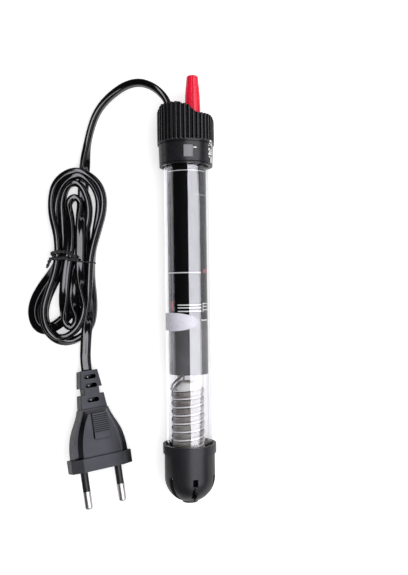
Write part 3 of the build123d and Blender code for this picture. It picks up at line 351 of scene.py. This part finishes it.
def taken_from(curve):
    """Points and faces of a curve's mesh. The curve itself is deleted."""
    holder = bpy.data.objects.new(curve.name, curve)
    bpy.context.scene.collection.objects.link(holder)
    mesh = bpy.data.meshes.new_from_object(holder)
    points = [v.co.copy() for v in mesh.vertices]
    faces = [tuple(polygon.vertices) for polygon in mesh.polygons]
    bpy.data.objects.remove(holder)
    bpy.data.curves.remove(curve)
    bpy.data.meshes.remove(mesh)
    return points, faces


def spline_points(points, resolution):
    """Points of the smooth line that has these control points, in millimetres."""
    curve = bpy.data.curves.new("route", "CURVE")
    curve.dimensions = "3D"
    spline = curve.splines.new("NURBS")
    spline.points.add(len(points) - 1)
    for control, point in zip(spline.points, points):
        control.co = (*point, 1)
    spline.order_u = 3
    spline.use_endpoint_u = True
    spline.resolution_u = resolution
    return taken_from(curve)[0]


def tangents(points):
    """Unit direction of a line at each of its points."""
    before = [points[0], *points[:-1]]
    after = [*points[1:], points[-1]]
    return [(b - a).normalized() for a, b in zip(before, after)]


def round_tube(points, radius, sides):
    """Round tube along a line, its seam carried along without twist. radius is a number, or a
    function of the ring's number and the angle."""
    rings = []
    ways = tangents(points)
    normal = ways[0].orthogonal().normalized()
    for here, way in zip(points, ways):
        normal = (normal - way * normal.dot(way)).normalized()
        side = way.cross(normal)
        ring = []
        for k in range(sides):
            angle = 2 * math.pi * k / sides
            r = radius(len(rings), angle) if callable(radius) else radius
            ring.append(here + (normal * math.cos(angle) + side * math.sin(angle)) * r)
        rings.append(ring)
    return loft(rings)


# ---- the cord ----------------------------------------------------------------------

CORD_WIDTH = 5.6
CORD_THICK = 3.4
CORD_CORNER = 1.35          # radius of its rounded corners
CORNER_STEPS = 6
CORD_GROOVE = 0.03          # depth of the groove between the two cores
GROOVE_HALF = 0.7           # its half width
CORD_RESOLUTION = 16        # points of the line for each point of the route

# How the flex lies: the share of a quarter turn that it is turned from standing on its edge.
ON_EDGE = 0.0
LEANING = 0.76
TILTED = 0.88
FLAT = 1.0
TWIST = 18                  # points of the line on either side that its turning is averaged over

# The route's points from the stopper to the plug. Each stretch says how the flex lies.
ROUTE = [
    # out of the cap and down to the hank
    (ON_EDGE, [(-5.2, 76.5, 14.65), (-5.4, 85.6, 14.7), (-9.1, 97.0, 14.6), (-13.1, 102.3, 14.0),
               (-18.1, 106.1, 12.5), (-24.2, 108.4, 10.5), (-31.2, 107.7, 8.0),
               (-38.3, 104.1, 5.5), (-44.4, 98.9, 3.9), (-48.4, 93.0, 3.0), (-50.8, 86.5, 2.8),
               (-52.7, 79.1, 2.8), (-53.9, 71.6, 2.8)]),
    # down through the tie
    (FLAT, [(-54.6, 65.0, 1.8), (-55.4, 58.0, 1.8), (-55.8, 50.0, 1.8), (-55.2, 42.0, 1.8)]),
    (ON_EDGE, [(-54.2, 34.5, 2.8), (-53.8, 25.5, 2.8), (-54.0, 17.5, 2.8), (-54.5, 11.5, 2.6)]),
    # outer loop at the bottom, flat on the surface
    (LEANING, [(-56.5, 3.5, 1.9), (-59.0, -5.5, 1.7), (-64.0, -13.0, 1.7), (-70.0, -18.5, 1.7),
               (-76.5, -21.5, 1.7), (-81.5, -19.0, 1.7), (-83.5, -12.5, 1.7),
               (-82.3, -5.5, 1.7), (-78.4, 1.5, 1.7), (-73.4, 8.0, 2.2)]),
    (ON_EDGE, [(-69.8, 14.5, 2.8), (-69.2, 21.5, 2.8)]),
    # second loop at the top
    (ON_EDGE, [(-69.0, 29.5, 2.8), (-70.0, 40.0, 3.2), (-69.0, 49.0, 4.5), (-66.0, 55.5, 6.5),
               (-61.5, 59.5, 8.2), (-56.5, 60.5, 8.4), (-52.0, 58.0, 8.4), (-48.5, 54.0, 7.5),
               (-46.5, 48.0, 5.5), (-47.0, 41.0, 4.0), (-49.0, 32.0, 2.8), (-50.5, 23.0, 2.8),
               (-51.5, 15.0, 2.8)]),
    # loop at the bottom over the outer one
    (ON_EDGE, [(-51.5, 5.0, 2.8), (-50.5, -4.0, 2.8), (-50.5, -12.0, 2.8), (-52.0, -19.5, 2.8),
               (-56.5, -24.5, 2.8), (-62.5, -27.5, 2.8)]),
    (LEANING, [(-69.0, -27.0, 3.4), (-74.0, -22.5, 5.1), (-77.0, -16.0, 5.1),
               (-77.0, -8.0, 4.0), (-73.6, 1.0, 3.0), (-68.4, 10.5, 2.4)]),
    (ON_EDGE, [(-66.4, 19.0, 2.8)]),
    # third loop at the top
    (ON_EDGE, [(-66.0, 27.0, 2.8), (-66.4, 37.5, 2.8), (-66.8, 46.0, 3.2), (-65.2, 53.0, 4.6),
               (-62.0, 56.6, 6.2), (-57.0, 56.6, 6.4), (-53.2, 51.0, 6.4), (-51.8, 44.0, 5.2),
               (-52.6, 36.5, 3.6), (-55.4, 27.5, 2.8), (-57.4, 18.5, 2.8)]),
    # short fold at the bottom
    (FLAT, [(-60.2, 9.5, 3.0), (-61.2, 0.0, 3.8), (-60.6, -8.5, 5.0)]),
    (ON_EDGE, [(-59.0, -13.5, 6.0), (-59.6, -17.8, 6.0), (-62.6, -20.2, 5.9),
               (-65.6, -17.6, 5.8), (-66.0, -13.0, 5.6)]),
    (FLAT, [(-65.9, -6.5, 5.6), (-65.4, 0.0, 6.0), (-64.3, 9.5, 7.0), (-62.8, 17.5, 7.3)]),
    # innermost loop at the top
    (TILTED, [(-61.9, 26.5, 7.3), (-61.9, 36.0, 6.4)]),
    (ON_EDGE, [(-62.6, 43.0, 6.2), (-62.3, 47.2, 6.4), (-59.4, 49.4, 6.4), (-56.4, 47.4, 6.4),
               (-55.8, 43.2, 6.4)]),
    (FLAT, [(-56.1, 38.0, 6.4), (-56.4, 29.0, 7.3), (-56.6, 21.0, 7.3)]),
    # third loop at the bottom, on top
    (FLAT, [(-56.8, 13.0, 7.3), (-56.2, 4.0, 7.3)]),
    (ON_EDGE, [(-55.0, -4.5, 7.5), (-54.5, -11.0, 7.8), (-56.5, -17.5, 8.2),
               (-60.5, -22.5, 8.4), (-66.5, -25.5, 8.8), (-71.5, -23.5, 9.6),
               (-75.0, -18.0, 9.6), (-76.0, -10.5, 8.6), (-74.2, -2.5, 7.8), (-71.2, 5.5, 7.6),
               (-69.0, 13.0, 8.2), (-68.0, 20.0, 8.4)]),
    # outermost loop at the top
    (ON_EDGE, [(-68.5, 29.0, 8.0), (-71.5, 39.0, 6.0), (-72.0, 48.0, 5.0), (-70.0, 56.0, 6.0),
               (-64.5, 61.0, 7.8), (-58.0, 63.0, 8.4), (-52.0, 61.0, 8.4), (-46.5, 56.5, 7.5),
               (-44.0, 49.5, 6.0), (-44.5, 41.0, 5.5), (-47.0, 32.0, 6.5), (-49.5, 23.0, 8.0),
               (-51.0, 15.5, 8.4)]),
    # out of the tie and down to the plug
    (ON_EDGE, [(-51.5, 8.0, 8.2), (-52.0, -1.0, 7.8), (-52.5, -9.5, 7.4)]),
    (FLAT, [(-53.0, -17.0, 7.4), (-54.0, -23.5, 7.3), (-54.5, -29.0, 6.4)]),
]


def flex_outline():
    """Points round the twin flex: across its width, and along its thickness."""
    across = CORD_WIDTH / 2 - CORD_CORNER
    along = CORD_THICK / 2 - CORD_CORNER
    points = []
    for quarter, (side, face) in enumerate(((1, 1), (-1, 1), (-1, -1), (1, -1))):
        for step in range(CORNER_STEPS + 1):
            angle = math.radians(90 * quarter + 90 * step / CORNER_STEPS)
            points.append((side * across + CORD_CORNER * math.cos(angle),
                           face * along + CORD_CORNER * math.sin(angle)))
        if quarter % 2 == 0:
            for share in (1.0, 0.5, 0.0, -0.5, -1.0):
                dip = CORD_GROOVE * (1 - share ** 2) ** 2
                points.append((face * GROOVE_HALF * share, face * (CORD_THICK / 2 - dip)))
    return points


def flex_rings(line, lie):
    """The flex's outline at each point of its line, turned as it lies there."""
    up = Vector((0, 0, 1))
    outline = flex_outline()
    rings = []
    for here, way, flat in zip(line, tangents(line), lie):
        level = way.cross(up).normalized()
        upright = level.cross(way)
        turn = flat * math.pi / 2
        wide = upright * math.cos(turn) + level * math.sin(turn)
        thin = wide.cross(way)
        rings.append([here + wide * w + thin * t for w, t in outline])
    return rings


def averaged(values, reach):
    """Each value's mean with its neighbours up to reach places away."""
    windows = [values[max(0, i - reach):i + reach + 1] for i in range(len(values))]
    return [sum(window) / len(window) for window in windows]


PIN_SLEEVE = 10.0           # plug's face to the start of the bare pins
PLUG_LENGTH = 51.0          # cord's entry to the plug's face
LAST_STRAIGHT = 6           # straight run of the cord before the plug
FLOOR_GAP = 0.03

pins = next(m for m in frame["record"]["mounts"] if m["name"] == "mains_pins")
plug_way = Vector(pins["axis"])
relief_middle = Vector(pins["pos_m"]) / MM - plug_way * (PIN_SLEEVE + PLUG_LENGTH)
last_run = [tuple(relief_middle - plug_way * LAST_STRAIGHT), tuple(relief_middle)]

route_points = [point for _, stretch in ROUTE for point in stretch] + last_run
route_lie = [lie for lie, stretch in ROUTE for _ in stretch] + [FLAT, FLAT]
cord_line = spline_points(route_points, CORD_RESOLUTION)
lie_line = spline_points([(lie, 0, 0) for lie in route_lie], CORD_RESOLUTION)
cord_lie = averaged([point.x for point in lie_line], TWIST)
for point, lie in zip(cord_line, cord_lie):
    half_rise = (CORD_CORNER + (CORD_WIDTH / 2 - CORD_CORNER) * math.cos(lie * math.pi / 2)
                 + (CORD_THICK / 2 - CORD_CORNER) * math.sin(lie * math.pi / 2))
    point.z = max(point.z, half_rise + FLOOR_GAP)

cord = piece("mains_cord", *loft(flex_rings(cord_line, cord_lie)), MATERIALS["cord_pvc"],
             "cord_pvc")
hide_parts("cord_from_cap", "cord_hank", "cord_to_plug")

# ---- the tie -----------------------------------------------------------------------

# Twisted plastic tie. TIE_WRAP goes round the hank, and TIE_ENDS ends in a loose tail.
TIE_WRAP = [
    (-57.9, 16.9, 12.0), (-60.4, 18.8, 12.3), (-62.8, 19.9, 12.3), (-66.3, 20.2, 12.0),
    (-69.6, 19.7, 11.0), (-71.3, 19.4, 8.8), (-71.7, 19.0, 5.0), (-70.8, 18.6, 1.4),
    (-67.5, 17.9, 0.6), (-60.0, 16.0, 0.6), (-53.0, 14.6, 0.6), (-49.9, 14.2, 1.4),
    (-48.9, 14.1, 5.0), (-49.1, 14.2, 8.6), (-50.6, 14.3, 11.2), (-54.0, 14.6, 12.0),
    (-57.5, 15.0, 12.3), (-59.5, 15.6, 12.3),
]
TIE_ENDS = [
    (-57.3, 15.4, 12.0), (-58.9, 16.7, 12.8), (-60.8, 15.6, 12.4), (-63.8, 17.1, 12.5),
    (-67.5, 16.5, 12.2), (-70.6, 16.8, 11.4), (-72.0, 16.4, 10.0), (-72.6, 15.2, 9.2),
    (-73.4, 13.4, 8.8), (-74.2, 11.8, 8.6),
]
TIE_PITCH = 4.4             # length of a full twist
TIE_RESOLUTION = 24
TIE_SIDES = 20
ROPE_R = 1.1
WAIST, LOBE = 0.55, 0.45    # shares of the radius between the two strands, and their bulge
BAND_R = 0.42
ROPE_SHARE = 0.44           # of the wrap's length, before it becomes a band
ROPE_FADE = 0.06
TAIL_START, TAIL_SHARE = 0.7, 0.3       # of the length of the ends
TAIL_THINNING = 0.3


def twisted(name, route, size):
    """Two strands twisted together along a route. size gives the radius from 0 to 1 along it."""
    line = spline_points(route, TIE_RESOLUTION)
    run = [0.0]
    for a, b in zip(line, line[1:]):
        run.append(run[-1] + (b - a).length)

    def radius(ring, angle):
        lobe = 0.5 + 0.5 * math.cos(2 * (angle - 2 * math.pi * run[ring] / TIE_PITCH))
        return size(ring / (len(line) - 1)) * (WAIST + LOBE * lobe)

    return piece(name, *round_tube(line, radius, TIE_SIDES), MATERIALS["tie_plastic"],
                 "tie_plastic")


def wrap_size(t):
    """Rope at the left of the hank, and a thin band under it and at its right."""
    return BAND_R + (ROPE_R - BAND_R) * max(0.0, min(1.0, (ROPE_SHARE - t) / ROPE_FADE))


def ends_size(t):
    """Rope that thins toward the end of its tail."""
    return ROPE_R - TAIL_THINNING * max(0.0, (t - TAIL_START) / TAIL_SHARE)


tie_wrap = twisted("tie_wrap", TIE_WRAP, wrap_size)
tie_ends = twisted("tie_ends", TIE_ENDS, ends_size)
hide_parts("cord_tie")

# ---- heating element ---------------------------------------------------------------

COIL_X = -0.6               # the element hangs a little to the left in the tube
COIL_R = 6.95               # middle of the winding
COIL_PITCH = 4.2
COIL_TURNS = 9.3
COIL_START = -0.3           # turns from the front to where the winding starts
COIL_TOP = -53.8            # height of the first turn at the front
BEAD_R = 1.5                # the fine coil that is wound round the former
BEAD_PITCH = 0.62
BEAD_POINTS = 12
WIRE_R = 0.2
WIRE_SIDES = 5
FORMER_SIDES = 96
FORMER_RINGS_PER_MM = 6
RIDGE_R = 8.15              # ceramic ridge between the turns
RIDGE_HALF = 0.15           # its half width, as a share of the pitch
RIDGE_STEEP, RIDGE_ROUND = 2.2, 0.8     # flanks of the ridge and the rounding of its top
GROOVE_R = 5.4
NECK_START = 2.2            # neck's lower end above the first turn
NECK_R = 4.6                # rounded top of the former
NECK_DROP = 0.6             # neck's foot is this much thinner than the ridge
NECK_LENGTH, NECK_ROUND = 3.6, 0.6
END_R = 7.2                 # plain lower end of the former
END_LENGTH = 2.0
END_CHAMFER, CHAMFER_LENGTH = 0.6, 0.3
STRIP_R = 0.5
STRIP_RESOLUTION = 12
STRIP_SIDES = 10


def coil_middle(turn):
    """Middle of the winding, turn counted down from the front of the first one."""
    angle = -2 * math.pi * turn
    return Vector((COIL_X + COIL_R * math.sin(angle), COIL_TOP - COIL_PITCH * turn,
                   axis_z + COIL_R * math.cos(angle)))


def coil_wire():
    """The fine coil's wire: a helix wound round the big helix."""
    length = 2 * math.pi * COIL_R * COIL_TURNS
    count = int(length / BEAD_PITCH) * BEAD_POINTS
    axis = Vector((0, 1, 0))
    points = []
    for i in range(count + 1):
        middle = coil_middle(COIL_TURNS * i / count + COIL_START)
        outward = Vector((middle.x - COIL_X, 0, middle.z - axis_z)).normalized()
        angle = 2 * math.pi * i / BEAD_POINTS
        points.append(middle + (outward * math.cos(angle) + axis * math.sin(angle)) * BEAD_R)
    return points


coil = piece("coiled_element", *round_tube(coil_wire(), WIRE_R, WIRE_SIDES),
             MATERIALS["heater_wire"], "heater_wire")
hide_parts("heating_coil")


def former_rings():
    """Ceramic former: a core with a helical ridge between the turns, and plain ends."""
    steps = int((former_top - former_end) * FORMER_RINGS_PER_MM)
    rings = []
    for i in range(steps + 1):
        y = former_top - (former_top - former_end) * i / steps
        ring = []
        for j in range(FORMER_SIDES):
            angle = 2 * math.pi * j / FORMER_SIDES
            phase = ((COIL_TOP - y) / COIL_PITCH + angle / (2 * math.pi)) % 1
            ridge = min(1.0, max(0.0, 1 - abs(phase - 0.5) / RIDGE_HALF) * RIDGE_STEEP)
            radius = GROOVE_R + (RIDGE_R - GROOVE_R) * ridge ** RIDGE_ROUND
            end = min(former_top - y, y - former_end)
            if y > COIL_TOP + NECK_START:
                bulge = min(1.0, (former_top - y) / NECK_LENGTH) ** NECK_ROUND
                radius = NECK_R + (RIDGE_R - NECK_DROP - NECK_R) * bulge
            elif end < END_LENGTH:
                radius = max(radius, END_R - END_CHAMFER * (end < CHAMFER_LENGTH))
            ring.append(Vector((COIL_X + radius * math.sin(angle), y,
                                axis_z + radius * math.cos(angle))))
        rings.append(ring)
    return rings


former = piece("grooved_former", *loft(former_rings()), MATERIALS["ceramic_white"],
               "ceramic_white")
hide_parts("ceramic_former")

# Leads that come out of the grey sleeve and run round the former to the winding.
LEAD_STRIPS = {
    "element_lead_upper": [(-2.4, -43.6, 24.2), (-4.8, -45.2, 23.6), (-6.8, -47.0, 22.4),
                           (-8.3, -49.0, 20.6), (-9.1, -51.6, 16.6)],
    "element_lead_lower": [(-3.0, -46.4, 23.6), (-5.0, -48.0, 23.0), (-6.8, -49.8, 21.6),
                           (-8.1, -51.4, 19.4), (-8.6, -53.2, 15.8)],
}
for name, route in LEAD_STRIPS.items():
    line = spline_points(route, STRIP_RESOLUTION)
    piece(name, *round_tube(line, STRIP_R, STRIP_SIDES), LEAD_METAL, "heater_wire")

# ---- marks on the sleeve, the glass and the collar ---------------------------------

# How far a print or a label stands above the surface that it is on.
SLEEVE_LIFT = 0.04
BADGE_LIFT = 0.06
COLLAR_LIFT = 0.05

MARK_R = sleeve_r + SLEEVE_LIFT
LINE_COLUMNS = 24


def wrapped(name, rows, columns, spot, material, slot):
    """A thin patch on a round surface. spot gives (angle from the top, y, radius)."""
    vertices = []
    for r in range(rows):
        for c in range(columns):
            angle, y, radius = spot(r / (rows - 1), c / (columns - 1))
            vertices.append((radius * math.sin(angle), y, axis_z + radius * math.cos(angle)))
    return piece(name, vertices, sheet_faces(rows, columns), material, slot)


def sleeve_line(name, x0, x1, y, thick, material=MARK_WHITE):
    """A printed line round the sleeve, from x0 to x1 as seen from above."""
    a0, a1 = (math.asin(max(-0.999, min(0.999, x / MARK_R))) for x in (x0, x1))

    def spot(r, c):
        return a0 + (a1 - a0) * c, y + thick * (0.5 - r), MARK_R

    return wrapped(name, 2, LINE_COLUMNS, spot, material, "black_sleeve")


sleeve_line("mark_level_line", -9.0, 9.6, 59.6, 0.3)
sleeve_line("mark_faint_line", 3.5, 9.4, 47.4, 0.4, MARK_FAINT)
sleeve_line("mark_full_line", -9.6, 7.2, 8.0, 0.42)
for count, line_y in enumerate((-8.3, -9.75, -11.5), 1):
    sleeve_line(f"mark_short_line_{count}", -4.9, 7.1, line_y, 0.5)
    sleeve_line(f"mark_ladder_bar_{count}", 7.9, 9.95, line_y + 0.55, 0.45)
sleeve_line("mark_ladder_side", 7.75, 8.05, -9.7, 5.0)
sleeve_line("mark_end_line", 7.0, 9.8, -16.2, 0.7)
sleeve_line("mark_red_right", 8.1, 9.5, 8.8, 2.2, MARK_RED)
sleeve_line("mark_red_left", -8.5, -7.0, -8.8, 5.4, MARK_RED)

BADGE_R = glass_r + BADGE_LIFT
BADGE_MIDDLE = math.radians(-46)        # from the top of the glass
BADGE_HALF_TURN = 15.0 / glass_r        # the label is 30 mm long round the glass
BADGE_Y = -16.8
BADGE_HALF_HEIGHT = 4.7
BADGE_ROWS, BADGE_COLUMNS = 41, 49


def badge_spot(r, c):
    """A point of the oval label on the glass."""
    up = 1 - 2 * r
    half = BADGE_HALF_TURN * math.sqrt(max(0.0, 1 - up * up))
    return BADGE_MIDDLE + half * (2 * c - 1), BADGE_Y + BADGE_HALF_HEIGHT * up, BADGE_R


wrapped("oval_badge", BADGE_ROWS, BADGE_COLUMNS, badge_spot, BADGE_SILVER, "tube_glass")

BEYOND_CAP = 40             # to the right of the cap, where a ray to its skin starts

collar = nodes["cap_shell"]
collar_skin = BVHTree.FromPolygons(
    [collar.matrix_world @ v.co for v in collar.data.vertices],
    [tuple(polygon.vertices) for polygon in collar.data.polygons])


def collar_r(y):
    """Outside radius of the collar at a height, measured on its right side."""
    hit = collar_skin.ray_cast(place(BEYOND_CAP, y, axis_z), Vector((-1, 0, 0)))[0]
    return hit.x / MM


def on_collar(name, outline, faces, turn, y):
    """A flat shape printed on the collar, its middle turned from the top by turn, in radians."""
    vertices = []
    for across, up in outline:
        radius = collar_r(y + up) + COLLAR_LIFT
        angle = turn + across / radius
        vertices.append((radius * math.sin(angle), y + up, axis_z + radius * math.cos(angle)))
    return piece(name, vertices, faces, MARK_WHITE, "cap_plastic")


TICK = [(-0.9, -0.25), (0.9, -0.25), (0.9, 0.25), (-0.9, 0.25)]
TICK_TURN, TICK_Y = 0.36, 70.4
NUMBER_SIZE = 4.4
NUMBER_BOLD = 0.05          # as a share of the size
NUMBER_TURN, NUMBER_TOP = 1.14, 71.8
NUMBER_PITCH = 3.9


def number(text, row):
    """A plain number printed on the collar."""
    name = f"collar_number_{text}"
    curve = bpy.data.curves.new(name, "FONT")
    curve.body = text
    curve.size = NUMBER_SIZE
    curve.align_x = "CENTER"
    curve.offset = NUMBER_BOLD * NUMBER_SIZE
    points, faces = taken_from(curve)
    on_collar(name, [(point.x, point.y) for point in points], faces, NUMBER_TURN,
              NUMBER_TOP - NUMBER_PITCH * row)


on_collar("collar_tick", TICK, [(0, 1, 2, 3)], TICK_TURN, TICK_Y)
for row, text in enumerate(("34", "26", "18")):
    number(text, row)

# ---- lights and stage --------------------------------------------------------------

DOWN = (0, 0, -1)
PANEL_POWER = math.pi       # watts for each square metre of unit glow
PANEL_TINT = (0.97, 0.965, 1.03)
PLUG = [nodes[name] for name in ("plug_body", "plug_base", "plug_strain_relief")]
GLASS = [nodes["glass_tube"]]
CORD = [cord, tie_wrap, tie_ends]
REST = [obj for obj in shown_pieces() if obj not in GLASS + CORD + PLUG]

# Place in millimetres, size in metres and power in watts.
LAMPS = {
    "lamp_right": ((380, 150, 650), (0.7, 0.9), 4.6),
    "lamp_left": ((-420, 100, 620), (0.6, 0.9), 0.4),
    "lamp_above": ((0, -250, 800), (0.8, 0.5), 3.0),
}
# Place, size, the way the panel faces, its glow, and the pieces that it shows on.
PANELS = {
    "panel_over_rest": ((562, 0, 600), (1.076, 1.4), DOWN, 2.2, REST),
    "panel_over_glass": ((1035, 0, 600), (1.88, 0.6), DOWN, 5.8, GLASS),
    "panel_right_of_glass": ((1990, 0, 295), (1.4, 0.59), (-1, 0, 0), 0.9, GLASS),
    "panel_left_of_glass": ((-1000, 0, 100), (1.0, 0.2), (1, 0, 0), 1.8, GLASS),
    "panel_under_glass": ((-215, 0, 0.4), (0.4, 0.8), (0, 0, 1), 1.6, GLASS),
    "panel_right_of_cord": ((480, 0, 600), (0.2, 1.4), DOWN, 3.0, CORD),
    "panel_over_cord": ((-165, 0, 600), (0.15, 1.4), DOWN, 7.5, CORD),
}


def area_light(name, where_mm, size, facing, power):
    light = bpy.data.lights.new(name, "AREA")
    light.shape = "RECTANGLE"
    light.size, light.size_y = size
    light.energy = power
    obj = bpy.data.objects.new(name, light)
    obj.location = place(*where_mm)
    obj.rotation_mode = "QUATERNION"
    obj.rotation_quaternion = Vector(facing).to_track_quat("-Z", "Y")
    bpy.context.scene.collection.objects.link(obj)
    return obj


def lamp(name, where_mm, size, power):
    """A soft lamp that points at the heater's middle and shows in no reflection."""
    obj = area_light(name, where_mm, size, -place(*where_mm), power)
    obj.visible_glossy = False
    return obj


def panel(name, where_mm, size, facing, glow):
    """A flat glow that shows only in reflections."""
    obj = area_light(name, where_mm, size, facing, glow * PANEL_POWER * size[0] * size[1])
    obj.data.color = PANEL_TINT
    obj.visible_camera = obj.visible_diffuse = obj.visible_transmission = False
    return obj


def linked(name, members):
    """A collection that tells a light which pieces it reaches, or leaves out."""
    group = bpy.data.collections.new(name)
    for member in members:
        group.objects.link(member)
    return group


# The plug has a lamp of its own, and the other three leave it out.
plug_lamp = lamp("lamp_plug", (330, -110, 180), (0.12, 0.12), 18.0)
plug_lamp.light_linking.receiver_collection = linked("lit_by_lamp_plug", PLUG)
left_out = linked("not_lit_by_the_rest", PLUG)
for name, values in LAMPS.items():
    lamp(name, *values).light_linking.receiver_collection = left_out
for member in left_out.collection_objects:
    member.light_linking.link_state = "EXCLUDE"

for name, (*values, seen_by) in PANELS.items():
    panel(name, *values).light_linking.receiver_collection = linked(name, seen_by)

FLOOR_HALF = 6.0            # metres
FLOOR_Z = -0.0002
FLOOR_COLOUR = (0.82, 0.82, 0.82, 1)
FLOOR_GLOW = 0.5            # makes the floor white to the camera and through the glass


def floor():
    """A pale floor that reads as white where no shadow falls."""
    corners = [(x * FLOOR_HALF, y * FLOOR_HALF, FLOOR_Z)
               for x, y in ((-1, -1), (1, -1), (1, 1), (-1, 1))]
    mesh = bpy.data.meshes.new("floor")
    mesh.from_pydata(corners, [], [(0, 1, 2, 3)])
    surface = Surface("floor")
    ray = surface.add("ShaderNodeLightPath").outputs
    seen = surface.calculate("ADD", ray["Is Camera Ray"], ray["Is Transmission Ray"])
    shader = surface.add("ShaderNodeBsdfPrincipled", {
        "Base Color": FLOOR_COLOUR, "Roughness": 0.9, "Specular IOR Level": 0.0,
        "Emission Color": (1, 1, 1, 1),
        "Emission Strength": surface.calculate("MULTIPLY", seen, FLOOR_GLOW)})
    mesh.materials.append(surface.finish(shader.outputs["BSDF"]))
    obj = bpy.data.objects.new("floor", mesh)
    bpy.context.scene.collection.objects.link(obj)


floor()

WORLD_LIGHT = 0.15
WORLD_IN_REFLECTIONS = 0.02

world = bpy.data.worlds.new("world")
bpy.context.scene.world = world
world.use_nodes = True
tree = world.node_tree
tree.nodes.clear()
sky = tree.nodes.new("ShaderNodeBackground")
ray = tree.nodes.new("ShaderNodeLightPath")
level = tree.nodes.new("ShaderNodeMapRange")
level.inputs["To Min"].default_value = WORLD_LIGHT
level.inputs["To Max"].default_value = WORLD_IN_REFLECTIONS
tree.links.new(ray.outputs["Is Glossy Ray"], level.inputs["Value"])
brighter = tree.nodes.new("ShaderNodeMath")
brighter.operation = "MAXIMUM"
tree.links.new(level.outputs["Result"], brighter.inputs[0])
tree.links.new(ray.outputs["Is Camera Ray"], brighter.inputs[1])
tree.links.new(brighter.outputs[0], sky.inputs["Strength"])
tree.links.new(sky.outputs["Background"],
               tree.nodes.new("ShaderNodeOutputWorld").inputs["Surface"])
